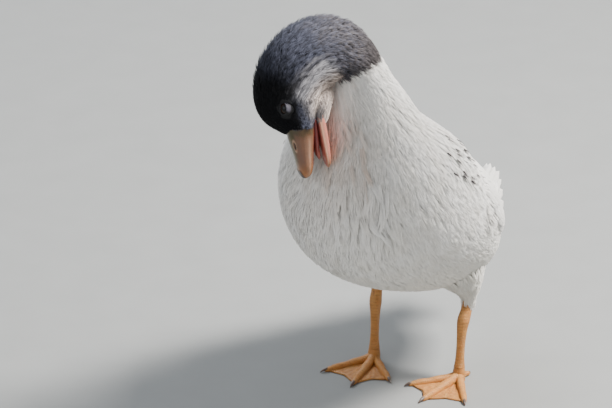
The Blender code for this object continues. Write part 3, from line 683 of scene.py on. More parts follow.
def skin_parts():
    """Points, faces, colours and map of the trunk, the two thighs and the chin, each a closed tube."""
    parts, shift = ([], [], [], [], []), 0
    row, angle = ring_grid(0, LAST_ROW, *SKIN_GRID)
    degrees = from_back(angle)
    forms = [(shaped(row, angle, fluff(row, degrees) - np.interp(row, ROWS, COAT_DEPTH)), row, angle)]
    row, angle = ring_grid(0, len(THIGH) - 1, *LIMB_GRID)
    for side in SIDES.values():
        rings = thigh_point(side, row, angle, -THIGH_DEPTH + THIGH_THINS * row)
        forms.append((rings, row * 0 + THIGH_ROW, angle))
    row, angle = ring_grid(0, len(CHIN) - 1, *LIMB_GRID)
    forms.append((chin(row, angle, -CHIN_DEPTH), row * 0 + CHIN_ROW, 0 * angle + math.pi))
    for rings, row, angle in forms:
        points = closed_tube(rings)
        quads, fans = tube_faces(*rings.shape[:2])
        root, _, _ = plumage_colour(row, angle, rings)
        uv = skin_map(row, angle, 0, LAST_ROW).reshape(-1, 2)
        parts[0].append(points)
        parts[1].append(quads + shift)
        parts[2].append(fans + shift)
        parts[3].append(capped(root))
        parts[4].append(np.concatenate([uv, uv[:1], uv[-1:]]))
        shift += len(points)
    return [np.concatenate(part) for part in parts]


points, quads, fans, colour, uv = skin_parts()
skin = outward(make_mesh("skin", points, [quads, fans], white_plumage, colour, {"OFBake": uv}))
dress(skin, "white_feathers", "torso", "neck_lower", "neck_upper", "head", "thigh_left", "thigh_right")

# %% [markdown]
# ## Soft feathers as tufts
# A small body feather has a loose edge of soft barbs, and hundreds of them merge into one coat. Hair
# particles would be lost when the model leaves Blender, so each feather is a fan of narrow, tapered,
# closed strands. It starts in the skin, follows the body's surface towards the tail, and ends at the
# level of the solid model.

# %% One function that grows tufts
WRIGGLE = 12.0  # degrees that the lie of the coat wanders
CUPPED, RIDGED = 0.30, 0.22  # how far a feather is shaded as round across, and one strand as round
TIPPED = 0.12  # how far the shading leans to the tip
ROUNDED, LOWERED = 0.28, 0.25  # how much shorter and lower the outer strands of a tuft are
ASTRAY, BENT = 0.12, 0.06  # how far strands stray, in half widths, and bend, in lengths
STRAND_WIDE = ([0, 0.5, 0.8, 1], [0.8, 1, 0.62, 0])  # share of the length and of the width
STRAND_HIGH = 0.6  # height of a strand's section, in half widths
NARROWEST = 3.0  # millimetres to a row or a radian that a step is measured by, at the least


def strands(
    surface, a, b, heading, length, width, low, high, count, stations, seed, thick=0.58, spread=(0.35, 1.0),
):
    """Points of fans of strands. A strand goes s millimetres along the lie and x aside, so its place is
    surface(a - (s cos h - x sin h)/scale_a, b + (s sin h + x cos h)/scale_b, height), and its height rises
    from low to high as a quarter of a sine. Its section is a flat triangle that tapers to a point, and
    spread is the share of the width that the fan has at its root and at its tip."""
    rng = np.random.default_rng(seed)
    n = len(a)
    step = 0.01
    side_a = surface(a + step, b, 0) - surface(a - step, b, 0)
    side_b = surface(a, b + step, 0) - surface(a, b - step, 0)
    scale_a, scale_b = (
        np.maximum(np.linalg.norm(v, axis=-1) / (2 * step), NARROWEST) for v in (side_a, side_b)
    )
    j = np.linspace(-1, 1, count)[None, :]
    reach = length[:, None] * (1 - ROUNDED * j**2) * rng.uniform(0.85, 1.1, (n, count))
    aside = j * width[:, None] / 2 + rng.normal(0, ASTRAY, (n, count)) * width[:, None] / 2
    bend = rng.normal(0, BENT, (n, count)) * length[:, None]
    t = np.linspace(0, 1, stations + 1)[None, None, :]
    s = reach[..., None] * t
    x = aside[..., None] * (spread[0] + (spread[1] - spread[0]) * t**0.8) + bend[..., None] * t**2
    lift = low[:, None] + (high - low)[:, None] * (1 - LOWERED * j**2) + rng.normal(0, 0.1, (n, count))
    height = low[:, None, None] + (lift - low[:, None])[..., None] * np.sin(math.pi / 2 * t) ** 0.9
    half = (width / count * thick)[:, None, None] * np.interp(t, *STRAND_WIDE)
    corner = np.array([-1, 0, 1])[None, None, None, :]
    xs = x[..., None] + corner * half[..., None]
    hs = height[..., None] + np.array([0, 1, 0]) * half[..., None] * STRAND_HIGH
    head = heading[:, None, None, None]
    forward = s[..., None] * np.cos(head) - xs * np.sin(head)
    sideways = s[..., None] * np.sin(head) + xs * np.cos(head)
    at_a = a[:, None, None, None] - forward / scale_a[:, None, None, None]
    at_b = b[:, None, None, None] + sideways / scale_b[:, None, None, None]
    points = surface(at_a, at_b, hs)
    over, under = surface(a - length * 0.5 / scale_a, b, 1.0), surface(a - length * 0.5 / scale_a, b, 0.0)
    level = unit(over - under)[:, None, None, None]
    beside = unit(side_b)[:, None, None, None]
    curve = j[..., None, None] * CUPPED + corner * RIDGED
    ahead = unit(points[:, :, -1:, 1:2] - points[:, :, :1, 1:2])
    normals = unit(level + beside * curve[..., None] + ahead * TIPPED)
    return points, t, j, np.broadcast_to(normals, points.shape)


def strand_faces(total, stations):
    """Faces of closed strands: a base, sides between stations of three corners, and a point."""
    one = [(0, 2, 1)]
    for k in range(stations - 1):
        for c in range(3):
            d = (c + 1) % 3
            p, q = 3 * k, 3 * (k + 1)
            one += [(p + c, p + d, q + d), (p + c, q + d, q + c)]
    p = 3 * (stations - 1)
    one += [(p + c, p + (c + 1) % 3, p + 3) for c in range(3)]
    each = 3 * stations + 1
    return (np.arange(total)[:, None, None] * each + np.array(one)[None]).reshape(-1, 3)


def turned_out(points, faces):
    """The faces of closed triangle meshes, with their order reversed if the volume that they hold, the sum
    of a . (b x c) / 6 over the faces, comes out negative, as it does on a mirrored surface."""
    a, b, c = (points[faces[:, k]] - points.mean(axis=0) for k in range(3))
    volume = (a * np.cross(b, c)).sum() / 6
    return faces if volume > 0 else faces[:, ::-1]


PATCH = 0.003  # the side of a tuft's patch on its bake map


def tufts(name, fans, root_tint, tip_tint, place_uv, material, seed, contrast=0.06, fringe=0.8):
    """One piece of all fans: the tint runs from root to tip by the share along to the power of fringe, and
    each fan has its patch of the bake map."""
    rng = np.random.default_rng(seed)
    points, t, j, normals = fans
    n, count, stations = *points.shape[:2], points.shape[2] - 1
    kept, normals = (
        np.concatenate([v[:, :, :-1].reshape(n, count, -1, 3), v[:, :, -1, 1:2]], axis=2)
        for v in (points, normals)
    )
    share = np.concatenate([np.repeat(t[0, 0, :-1], 3), [1.0]])
    contrast = np.broadcast_to(contrast, n)[:, None, None, None]
    tone = 1 + contrast * (1.4 * rng.uniform(-1, 1, (n, count, 1, 1)) + rng.uniform(-1, 1, (n, 1, 1, 1)))
    late = share[None, None, :] ** np.broadcast_to(fringe, n)[:, None, None]
    mixed = blend(root_tint[:, None, None], tip_tint[:, None, None], late)
    corner = np.concatenate([np.tile([-0.4, 0.0, 0.4], stations), [0.0]]) / count
    down = np.concatenate([[0, -0.06, 0], np.zeros(3 * stations - 2)])
    patch = np.stack([
        np.broadcast_to(0.5 + j[0][:, None] * 0.4 + corner[None], (count, len(share))),
        np.broadcast_to(0.06 + 0.9 * share + down, (count, len(share))),
    ], -1) * PATCH
    uv = place_uv[:, None, None] + patch[None]
    faces = turned_out(kept.reshape(-1, 3), strand_faces(n * count, stations))
    piece = make_mesh(name, kept, faces, material, mixed * tone, {"OFBake": uv}, normals)
    return dress(piece, "grey_feathers" if material is grey_plumage else "white_feathers")


print("a strand of 3 stations has", len(strand_faces(1, 3)), "triangles")


# %% Where tufts grow
CELLS_TO_A_ROW, FEWEST_CELLS, CELLS_ROUND = 14, 6, 90


def scatter(surface, first, last, spacing_of, seed, around=(0, 2 * math.pi)):
    """Roots spread evenly: the surface is cut in cells of about one spacing, and each cell gets as many
    roots as its true area over the spacing squared, rounded at random."""
    rng = np.random.default_rng(seed)
    rows, turns = max(int((last - first) * CELLS_TO_A_ROW), FEWEST_CELLS), CELLS_ROUND
    a0, b0 = (last - first) / rows, (around[1] - around[0]) / turns
    a = first + a0 * (np.arange(rows)[:, None] + 0.5) + np.zeros((1, turns))
    b = around[0] + b0 * (np.arange(turns)[None, :] + 0.5) + np.zeros((rows, 1))
    side_a = surface(a + a0 / 2, b, 0.0) - surface(a - a0 / 2, b, 0.0)
    side_b = surface(a, b + b0 / 2, 0.0) - surface(a, b - b0 / 2, 0.0)
    area = np.linalg.norm(np.cross(side_a, side_b), axis=-1)
    share = area / spacing_of(a) ** 2
    total = np.cumsum(share.ravel()) + rng.uniform()
    cell = np.repeat(np.arange(share.size), np.diff(np.concatenate([[0], np.floor(total)])).astype(int))
    a = a.ravel()[cell] + a0 * rng.uniform(-0.5, 0.5, len(cell))
    b = b.ravel()[cell] + b0 * rng.uniform(-0.5, 0.5, len(cell))
    return a, b


def coat_spacing(row):
    """Millimetres from tuft to tuft at a row of the trunk."""
    return np.interp(row, ROWS, SPACING)


def even(spacing):
    """The same spacing at every row."""
    return lambda row: spacing + 0 * row


print("tufts that would cover the whole trunk:", len(scatter(trunk, 0.4, LAST_ROW, coat_spacing, 1)[0]))


# %% Keep the eyes and the bill clear
EYE_CLEAR, BILL_CLEAR = 0.7, 0.2  # millimetres that no tuft enters
EYE_OVAL = (1.14, 0.84)  # how long the clear oval is to the bill and how wide, over its reach outwards
WING_COVER, WING_ROWS = 0.72, (1.0, 4.5)  # share of a wing's width, and rows, that hide the trunk


def eye_axes(side):
    """The eye's middle, the way it looks, the way of the bill and the way to the cheek."""
    angle = side * math.radians(EYE_ANGLE)
    surface = trunk(EYE_ROW, angle)
    way = unit(trunk(EYE_ROW, angle, 1.0) - surface)
    ahead = unit(np.asarray(BILL_AHEAD) - np.dot(BILL_AHEAD, way) * way)
    return surface - way * EYE_DEPTH, way, ahead, np.cross(way, ahead) * side


def near_eye(points, clear):
    """True for a tuft with a point in an oval ball round an eye, longer along the bill's direction."""
    found = np.zeros(points.shape[0], bool)
    for side in SIDES.values():
        centre, way, ahead, down = eye_axes(side)
        gap = points - centre
        gap = np.stack([gap @ way, gap @ ahead / EYE_OVAL[0], gap @ down / EYE_OVAL[1]], -1)
        found |= np.linalg.norm(gap, axis=-1).min(axis=1) < clear
    return found


def inside_bill(points, root, ahead, rows, clear):
    """True where a point lies inside the bill's tube, grown by clear."""
    ahead = unit(ahead)
    up = unit(np.asarray(BILL_UP) - np.dot(BILL_UP, ahead) * ahead)
    left = np.cross(up, ahead)
    way = points - np.asarray(root)
    along, high, aside = way @ ahead, way @ up, way @ left
    reach = [np.interp(along, rows[:, 0], rows[:, k]) + clear for k in (1, 2, 3)]
    tall = np.where(high > 0, reach[0], reach[1])
    found = (high / tall) ** 2 + (aside / reach[2]) ** 2 < 1
    found &= (along > -2) & (along < rows[-1, 0] + clear)
    return found.reshape(len(points), -1).any(axis=1)


def under_wing(row, degrees):
    """True where a folded wing hides the trunk."""
    middle, half = np.interp(row, WING[:, 0], WING[:, 1]), np.interp(row, WING[:, 0], WING[:, 2])
    return (np.abs(degrees - middle) < WING_COVER * half) & (row > WING_ROWS[0]) & (row < WING_ROWS[1])


print("left eye at", np.round(eye_axes(1)[0]))

# %% [markdown]
# ## The coat of the trunk
# The coat is grown in pieces from the rump to the face. Lengths, widths and spacing shrink towards the
# face, as on the bird. The lie wanders a little, and on the breast the tufts draw together in clumps, as
# they do where the bill has ruffled them.

# %% Grow the coat
COAT = {  # first and last row, the share of the way round, strands in a tuft, stations
    "coat_rump": (0.5, 2.6, (0, 1), 6, 3),
    "coat_belly_left": (2.6, 4.4, (0, 0.5), 6, 3),
    "coat_belly_right": (2.6, 4.4, (0.5, 1), 6, 3),
    "coat_breast_left": (4.4, 6.2, (0, 0.5), 7, 3),
    "coat_breast_right": (4.4, 6.2, (0.5, 1), 7, 3),
    "coat_neck_base_left": (6.2, 7.6, (0, 0.5), 6, 3),
    "coat_neck_base_right": (6.2, 7.6, (0.5, 1), 6, 3),
    "coat_neck": (7.6, 9.7, (0, 1), 6, 3),
    "coat_nape": (9.7, 11.3, (0, 1), 6, 2),
    "coat_crown": (11.3, 13.2, (0, 1), 6, 2),
    "coat_face": (13.2, 15.95, (0, 1), 5, 2),
}
CLUMP = 11.0  # millimetres between the middles of two clumps
ROOTED = 0.4  # how far below the skin a tuft starts
HOOD_LOOSE = 2.0  # how much further the tips of the hood's feathers stand off than those of the body
HOOD_FROM = 9.65  # pieces that start above this row are grey
BILL_ROWS = (5, 9)  # pieces that start between these rows lie under the bill


def coat_piece(name, first, last, around, count, stations, seed):
    """One piece of the coat. The lie wanders, most of all where the bill has ruffled the breast, and the
    feathers of the hood stand a little looser."""
    turn = (around[0] * 2 * math.pi, around[1] * 2 * math.pi)
    row, angle = scatter(trunk, first, last, coat_spacing, seed, turn)
    rng = np.random.default_rng(seed + 100)
    roots = trunk(row, angle)
    degrees = from_back(angle)
    ruffle = smooth_step(118, 155, degrees) * bump_at(row, 6.4, 1.0)
    wander = WRIGGLE * soft_noise(roots, 22, 3) + (4 + 24 * ruffle) * soft_noise(roots, CLUMP, 5)
    heading = np.radians(wander + rng.normal(0, 5, len(row)))
    depth = np.interp(row, ROWS, COAT_DEPTH)
    length = np.interp(row, ROWS, LENGTH) * rng.uniform(0.82, 1.12, len(row))
    width = np.interp(row, ROWS, TUFT_WIDTH) * rng.uniform(0.85, 1.15, len(row))
    raised = fluff(row, degrees)
    hood = smooth_step(9.9, 10.6, row) * smooth_step(14, 12.5, row)
    loose = 0.25 + HOOD_LOOSE * hood
    high = rng.uniform(-0.12, 0.03, len(row)) * depth + loose * rng.uniform(0, 1, len(row)) ** 3 + raised
    high += 2.0 * ruffle * soft_noise(roots, CLUMP, 6)
    low = raised - depth - ROOTED
    length = length * (1 + 0.12 * raised)
    fans = strands(shaped, row, angle, heading, length, width, low, high, count, stations, seed)
    points = fans[0]
    flat = points.reshape(len(row), -1, 3)
    keep = ~near_eye(flat, EYE_RADIUS + EYE_CLEAR) & ~under_wing(row, degrees)
    if BILL_ROWS[0] < first < BILL_ROWS[1]:
        keep &= ~inside_bill(flat, JAW_ROOT, JAW_AHEAD, LOWER_BILL, BILL_CLEAR)
        keep &= ~inside_bill(flat, BILL_ROOT, BILL_AHEAD, UPPER_BILL, BILL_CLEAR)
    root, tip, grey = plumage_colour(row, angle, roots)
    uv = skin_map(row, angle, first, last)
    material = grey_plumage if first > HOOD_FROM else white_plumage
    fans = (points[keep], fans[1], fans[2], fans[3][keep])
    contrast, fringe = (0.03 + 0.3 * grey)[keep], (0.8 + 2.0 * grey)[keep]
    tufts(name, fans, root[keep], tip[keep], uv[keep], material, seed + 7, contrast, fringe)


for index, (name, settings) in enumerate(COAT.items()):
    coat_piece(name, *settings, seed=20 + index)

# %% Locks of the breast and the throat
LOCKS = {  # count, first and last row, first and last degrees, length, width, height, share of rosy
    "breast": (34, 5.6, 6.9, 138, 176, 15.0, 6.0, 3.0, 0.0),
    "throat": (26, 6.9, 8.5, 150, 204, 15.0, 3.0, 2.6, 0.8),
}


def locks(name, count, first, last, start, end, length, width, height, rosy, seed):
    """Feathers drawn together at their tips, which stand a little off the coat."""
    rng = np.random.default_rng(seed)
    row, angle = rng.uniform(first, last, count), np.radians(rng.uniform(start, end, count))
    over = fluff(row, from_back(angle))
    lengths, widths = (v * rng.uniform(0.7, 1.25, count) for v in (length, width))
    high = over + height * rng.uniform(0.5, 1.15, count)
    heading = np.radians(rng.normal(0, 12, count))
    low, drawn = over - 1.0, (0.9, 0.22)
    fans = strands(trunk, row, angle, heading, lengths, widths, low, high, 11, 4, seed, 0.75, drawn)
    root, tip, _ = plumage_colour(row, angle, trunk(row, angle))
    share = rosy * rng.uniform(0.2, 1, count)
    root, tip = blend(root, ROSY, share), blend(tip, ROSY, share * 0.8)
    tufts(name, fans, root, tip, skin_map(row, angle, first, last), white_plumage, seed + 1, 0.03)


for index, (place_name, settings) in enumerate(LOCKS.items()):
    locks("locks_" + place_name, *settings, seed=500 + index)

# %% Chin
CHIN_SPREAD = 0.42  # how much of the way round the trunk's colours go as one goes round the chin
row, angle = scatter(chin, 0.6, 4, lambda a: np.interp(a, [0, 4], [1.9, 0.9]), 38)
rng = np.random.default_rng(39)
n = len(row)
length = np.interp(row, [0, 2, 4], [12, 9, 3.5]) * rng.uniform(0.8, 1.2, n)
width = np.interp(row, [0, 4], [3.0, 1.1])
heading = np.radians(rng.normal(0, 16, n))
low, high = np.full(n, -CHIN_DEPTH), np.interp(row, [0, 2, 4], [2.0, 1.3, 0.1]) * rng.uniform(0.4, 1.2, n)
fans = strands(chin, row, angle, heading, length, width, low, high, 6, 3, 37)
roots = chin(row, angle)
turn = from_back(angle)
like = math.pi - CHIN_SPREAD * (math.pi - np.radians(turn))
root, tip, _ = plumage_colour(CHIN_ROW + 0 * row, like, roots)
dusky = smooth_step(1.0, 3.0, row + 0.8 * soft_noise(roots, 3.0, 36)) * smooth_step(150, 100, turn)
root, tip = blend(root, SMOKE, dusky * 0.9), blend(tip, SMOKE, dusky * 0.85)
tufts("coat_chin", fans, root, tip, skin_map(row, angle, 0, 4), grey_plumage, 36, 0.15, 1.5)

# %% Feathers over the root of the upper bill
BILL_FEATHERS = (-0.1, 0.5)  # rows of the bill that they start on
BILL_TURN = 2.1  # how far round from the ridge, in radians
FIRST_ROW = 7.0  # millimetres from the bill's first row to its second
FACE_ROW = 15.7  # the row of the trunk that has their colours


def bill_side(row, angle, more):
    """The upper bill's surface, drawn on behind its root."""
    behind = np.minimum(row, 0)[..., None] * FIRST_ROW * np.asarray(unit(BILL_AHEAD))
    return bill_point(BILL_ROOT, BILL_AHEAD, UPPER_BILL, row, angle, more) + behind


row, angle = scatter(bill_side, *BILL_FEATHERS, even(0.8), 46, (-BILL_TURN, BILL_TURN))
rng = np.random.default_rng(47)
n = len(row)
row = row + 0.07 * soft_noise(bill_side(row, angle, 0.0), 2.5, 48)
length, heading = rng.uniform(2.2, 3.4, n), np.radians(rng.normal(0, 12, n))
low, high = np.full(n, -0.6), rng.uniform(0.7, 1.5, n)
fans = strands(bill_side, row, angle, heading, length, np.full(n, 1.0), low, high, 4, 3, 49)
root, tip, _ = plumage_colour(FACE_ROW + 0 * row, angle, bill_side(row, angle, 0.0))
uv = skin_map(row, angle % (2 * math.pi), 0, 1)
tufts("coat_bill_root", fans, root, tip, uv, grey_plumage, 50, 0.3)

# %% Thighs
for side_name, side in SIDES.items():
    def surface(row, angle, more):
        return thigh_point(side, -row, angle, more, HEM)
    row, angle = scatter(surface, -4.0, -0.4, even(2.4), 40 + side)
    rng = np.random.default_rng(50 + side)
    n = len(row)
    length = np.interp(-row, [0, 3, 4], [12, 9, 7]) * rng.uniform(0.8, 1.15, n)
    heading = np.radians(rng.normal(0, 8, n))
    width, low, high = np.full(n, 3.6), np.full(n, -1.9), rng.uniform(-0.6, 0.2, n)
    fans = strands(surface, row, angle, heading, length, width, low, high, 6, 3, 60 + side)
    root, tip, _ = plumage_colour(THIGH_ROW + 0 * row, angle, surface(row, angle, 0))
    tufts("coat_thigh_" + side_name, fans, root, tip, skin_map(-row, angle, 0, 4), white_plumage, 70 + side)

# %% [markdown]
# ## Vaned feathers
# Feathers of the wings and tail have a shaft and a stiff vane. Each is a thin closed blade, arched
# across, with a ridge for the shaft and small splits at its edge where the barbs part. A row of them is
# one function of the share along the blade and the share across it.

# %% One function that makes rows of blades
BLADE_ALONG = np.array([0, 0.07, 0.2, 0.45, 0.7, 0.86, 0.95, 1.0])
BLADE_WIDE = np.array([0.22, 0.5, 0.82, 1.0, 0.97, 0.78, 0.5, 0.06])
BLADE_THICK = 0.28
SHAFT_RISE, SHAFT_HALF = 0.3, 0.07
ARCH = 0.07  # how far a blade is arched, as a share of its width
ROOT_SINK, SUNK_UNTIL = 2.0, 0.22  # how far a blade's root dives below the row in front, and until where
RISEN = 0.7  # the share along a blade where it has risen to its full height
SPLIT_OFTEN = 0.22  # the share of places at the edge where barbs part
BLADE_GRID = (22, 11)  # points along a blade and across it


def sheet_faces(rows, cols):
    """Faces of a closed sheet of two grids joined round their rim."""
    base = np.arange(rows * cols).reshape(rows, cols)
    quad = np.stack([base[:-1, :-1], base[:-1, 1:], base[1:, 1:], base[1:, :-1]], -1).reshape(-1, 4)
    loop = np.concatenate([base[0, :-1], base[:-1, -1], base[-1, :0:-1], base[:0:-1, 0]])
    after, lower = np.roll(loop, -1), rows * cols
    rim = np.stack([loop, loop + lower, after + lower, after], -1)
    return np.concatenate([quad[:, ::-1], quad + lower, rim])


def white_blade(s, v, rng):
    """White, a little greyer along the shaft and towards the root, with each blade's own tone. The greyer
    root is painted shade, where the row in front covers it.
    """
    tone = rng.uniform(0.88, 1.03, (len(s), 1, 1))
    # Painted shade towards the root, which dives under the row in front.
    shade = (0.88 + 0.12 * smooth_step(0, 0.35, s)) * (1 - 0.08 * np.exp(-((v / 0.1) ** 2))) * tone
    return blend(WHITE, WARM, 0.25 + 0 * s) * shade[..., None]


def two_sides(across, along, width, low, high):
    """Map places of a sheet's upper and under side, one beside the other."""
    return np.stack([
        np.stack([0.03 + 0.42 * across / width + 0.5 * k, low + high * along], -1) for k in (0, 1)
    ])


def blades(name, place, roots, tips, width, height, rise, roll, seed, nodes=(), split=0.16):
    """A row of closed blades. A point is place(x, y mm, height), where x and y run from root to tip, y is
    shifted by across * outline * width / 2, and the height adds the arch 1 - across^2 and the shaft."""
    rng = np.random.default_rng(seed)
    roots, tips = np.asarray(roots, float), np.asarray(tips, float)
    n, (rows, cols) = len(roots), BLADE_GRID
    s = np.linspace(0, 1, rows)[None, :, None]
    v = np.linspace(-1, 1, cols)[None, None, :]
    width, height, rise, roll = (np.broadcast_to(q, n)[:, None, None] for q in (width, height, rise, roll))
    outline = np.interp(s, BLADE_ALONG, BLADE_WIDE)
    notch = (rng.uniform(size=(n, rows, 2)) < SPLIT_OFTEN) * rng.uniform(0.3, 1.0, (n, rows, 2)) * split
    notch = np.where(v < 0, notch[:, :, :1], notch[:, :, 1:]) * np.abs(v) ** 6
    across = v * outline * width / 2 * (1 - notch)
    slant = np.abs(v) * outline * 0.05
    along = np.clip(s + slant * (1 - s) * 2, 0, 1) * rng.uniform(0.97, 1.03, (n, 1, 1))
    x = roots[:, 0, None, None] + (tips - roots)[:, 0, None, None] * along
    y = roots[:, 1, None, None] + (tips - roots)[:, 1, None, None] * along + across
    shaft = SHAFT_RISE * np.exp(-((v / SHAFT_HALF) ** 2)) * (1 - 0.8 * s)
    crown = ARCH * width * (1 - v**2) + shaft + roll * across
    ripple = rng.normal(0, 0.05, (n, rows, cols)) * np.abs(v)
    lie = height + rise * np.minimum(s / RISEN, 1) - ROOT_SINK * smooth_step(SUNK_UNTIL, 0, s)
    top = lie + crown + ripple
    thick = BLADE_THICK * (1 - 0.5 * s) * (1 - 0.5 * np.abs(v))
    points = place(np.stack([x, x], 1), np.stack([y, y], 1), np.stack([top, top - thick], 1))
    shift = np.arange(n)[:, None, None] * 2 * rows * cols
    faces = (shift + sheet_faces(rows, cols)[None]).reshape(-1, 4)
    lengths = np.linalg.norm(points[:, 0, -1, cols // 2] - points[:, 0, 0, cols // 2], axis=-1)
    barbs = np.stack([along * lengths[:, None, None] * MM, across * MM + 0 * along], -1)
    barbs = np.stack([barbs, barbs], 1)
    side = math.ceil(n**0.5)
    cell = np.stack([np.arange(n) % side, np.arange(n) // side], -1)[:, None, None, None]
    half = np.array([0.03, 0.52])[None, :, None, None]
    sides = np.broadcast_arrays(half + 0.42 * (0.5 + 0.5 * v[:, None]), 0.04 + 0.9 * s[:, None])
    bake = (cell + np.stack(sides, -1)) / side
    colour = white_blade(*np.broadcast_arrays(s + np.zeros((n, 1, 1)), v), rng)
    # Painted shade: the under side is the same white, a little darker.
    colour = np.stack([colour, colour * 0.93], 1)
    piece = make_mesh(name, points, faces, white_vanes, colour, {"OFBake": bake, "barbs": barbs})
    return dress(outward(piece), "white_feathers", *nodes)


BARB_PITCH = 0.00055  # metres from one barb to the next


def vane_finish(name):
    """White vanes: barbs as fine slanted lines on either side of the shaft."""
    made, tint, place = finish(name, 0.62, Sheen_Weight=0.2, Sheen_Roughness=0.5)
    where = place.node("ShaderNodeUVMap", settings={"uv_map": "barbs"})
    along = place.node("ShaderNodeSeparateXYZ", 0, Vector=where)
    across = place.node("ShaderNodeSeparateXYZ", 1, Vector=where).math("ABSOLUTE")
    drift = place.noise(160.0, 2.0)
    line = ((along - across * 0.8 + drift * 0.0006) * (2 * math.pi / BARB_PITCH)).math("SINE")
    grain = place.noise(FINE_DETAIL, 2.0)
    colour = tint * (line * 0.06 + grain * 0.16 + 0.87)
    return wire(made, colour, height=line * 0.35 + grain, depth=0.00016)


white_vanes = vane_finish("white_vanes")
print("material:", white_vanes.name)

# %% [markdown]
# ## The folded wings
# A folded wing shows its long flight feathers crossing over the tail, the shorter ones above them, and
# rows of coverts that lap like tiles. The scapulars lie over its upper edge. A few of the small feathers
# by the shoulder have dark grey dashes. The rows of the solid model are kept, with more and finer blades.

# %% Rows of blades on the wings
WING_BLADES = [  # count, first root, first tip, last root, last tip, width, height, rise, step, roll
    (6, (0.56, -6), (0.0, -3), (0.56, 9), (0.1, 3), 8.5, 0.5, 0.2, 0.5, -0.13),  # primaries
    (9, (0.62, -20), (0.3, -11), (0.6, 17), (0.2, 8), 11.0, 1.2, 1.5, 0.3, -0.12),  # secondaries
    (11, (0.72, -23), (0.52, -19), (0.72, 18), (0.5, 18), 7.4, 1.6, 1.3, 0.05, -0.06),  # greater coverts
    (11, (0.80, -22), (0.63, -20), (0.80, 15), (0.63, 16), 6.8, 1.7, 1.2, 0.04, -0.06),  # median coverts
    (10, (0.87, -20), (0.71, -20), (0.87, 13), (0.71, 15), 6.4, 1.8, 1.1, 0.04, -0.06),  # lesser coverts
    (8, (0.93, -17), (0.79, -18), (0.93, 12), (0.79, 14), 6.0, 1.8, 1.0, 0.04, -0.06),  # smallest, in front
    (7, (0.94, 18), (0.66, 17), (0.76, 31), (0.5, 25), 8.6, 1.8, 2.0, 0.25, -0.06),  # scapulars
]


def spread_rows(row):
    """Roots and tips spread evenly from a row's first blade to its last."""
    count, first_root, first_tip, last_root, last_tip = row[:5]
    share = np.linspace(0, 1, count)[:, None]
    first, last = np.array([*first_root, *first_tip]), np.array([*last_root, *last_tip])
    both = first + (last - first) * share
    return both[:, :2], both[:, 2:]


for side_name, side in SIDES.items():
    def place(x, y, height):
        return wing_point(side, x, 0.0, height, y)
    for index, row in enumerate(WING_BLADES):
        roots, tips = spread_rows(row)
        width, height, rise, step, roll = row[5:]
        rises = rise + step * np.arange(len(roots))
        name, nodes = f"wing_row_{index}_{side_name}", [] if index else ["wing_" + side_name]
        blades(name, place, roots, tips, width, height, rises, roll, 200 + index, nodes)

# %% The wings' skin and loose feathers
WING_GRID = (60, 40)
UNDER_BLADES = 1.05  # half the width of the sheet under the blades, in half widths of the wing
SHEET_FROM, SHEET_TOP, SHEET_FLOOR = 0.12, 0.3, -1.2  # where it starts along the wing, and its two heights


def wing_skin(name, side):
    """A thin closed sheet under the blades, so that no gap between them shows the hollow of the wing."""
    across = np.linspace(-UNDER_BLADES, UNDER_BLADES, WING_GRID[1])
    x, y = np.meshgrid(np.linspace(SHEET_FROM, 1.0, WING_GRID[0]), across, indexing="ij")
    sheet = np.stack([wing_point(side, x, y, height) for height in (SHEET_TOP, SHEET_FLOOR)])
    # Painted shade: the sheet's white is dimmed, as it lies under the blades.
    tint = np.broadcast_to(np.asarray(WHITE) * 0.8, sheet.shape)
    bake = two_sides(y + UNDER_BLADES, x, 2 * UNDER_BLADES, 0.03, 0.94)
    piece = make_mesh(name, sheet, sheet_faces(*WING_GRID), white_plumage, tint, {"OFBake": bake})
    dress(outward(piece), "white_feathers")


LOOSE_RISE, LOOSE_ROOT = 4.4, 3.2  # least rise of a loose feather, and least depth of its root
EDGE_SINK = 3.0  # how far the loose feathers sink beyond the wing's edge
LOOSE_COLOURS = (5.5, 1.0)  # row of the trunk and angle in radians that have the loose feathers' colours
LOOSE = {  # first and last x, first and last y, spacing, length, width, height along x from first to last
    "shoulder": (0.80, 1.0, -1.3, 1.3, 2.8, 14.0, 5.0, (3.4, 4.0, 3.4, 0.6)),
    "flank": (0.16, 0.80, -1.5, -0.86, 3.1, 15.0, 5.2, (1.0, 2.2, 2.6, 2.6)),
    "mantle": (0.10, 1.0, 0.80, 1.5, 3.0, 15.0, 5.2, (1.4, 2.6, 3.2, 3.0, 0.6)),
}


def loose_feathers(name, side, start, end, lower, upper, spacing, length, width, heights, seed):
    """Tufts over a wing's rim. They lie towards the tail, and sink at the outer edge of their band."""
    def surface(x, y, height):
        return wing_point(side, x, y, height)
    x, y = scatter(surface, start, end, even(spacing), seed, (lower, upper))
    rng = np.random.default_rng(seed + 1)
    n = len(x)
    roots = surface(x, y, 0.0)
    heading = np.radians(8 * soft_noise(roots, 20, 3) + rng.normal(0, 5, n))
    high = np.interp(x, np.linspace(start, end, len(heights)), heights) + rng.uniform(-0.5, 0.2, n)
    high = high - EDGE_SINK * smooth_step(1.05, 1.5, np.abs(y))
    lengths = length * rng.uniform(0.85, 1.12, n)
    low = np.minimum(high - LOOSE_RISE, -LOOSE_ROOT)
    fans = strands(surface, x, y, heading, lengths, np.full(n, width), low, high, 7, 3, seed + 2)
    root, tip, _ = plumage_colour(LOOSE_COLOURS[0] + 0 * x, 0 * x + LOOSE_COLOURS[1], roots)
    shares = (y - lower) / (upper - lower), (x - start) / (end - start)
    uv = np.stack([0.03 + 0.9 * share for share in shares], -1)
    tufts(name, fans, root, tip, uv, white_plumage, seed + 3, 0.03)


for side_name, side in SIDES.items():
    wing_skin("wing_skin_" + side_name, side)
    for index, (band, settings) in enumerate(LOOSE.items()):
        loose_feathers(f"coat_{band}_{side_name}", side, *settings, seed=400 + 10 * index)

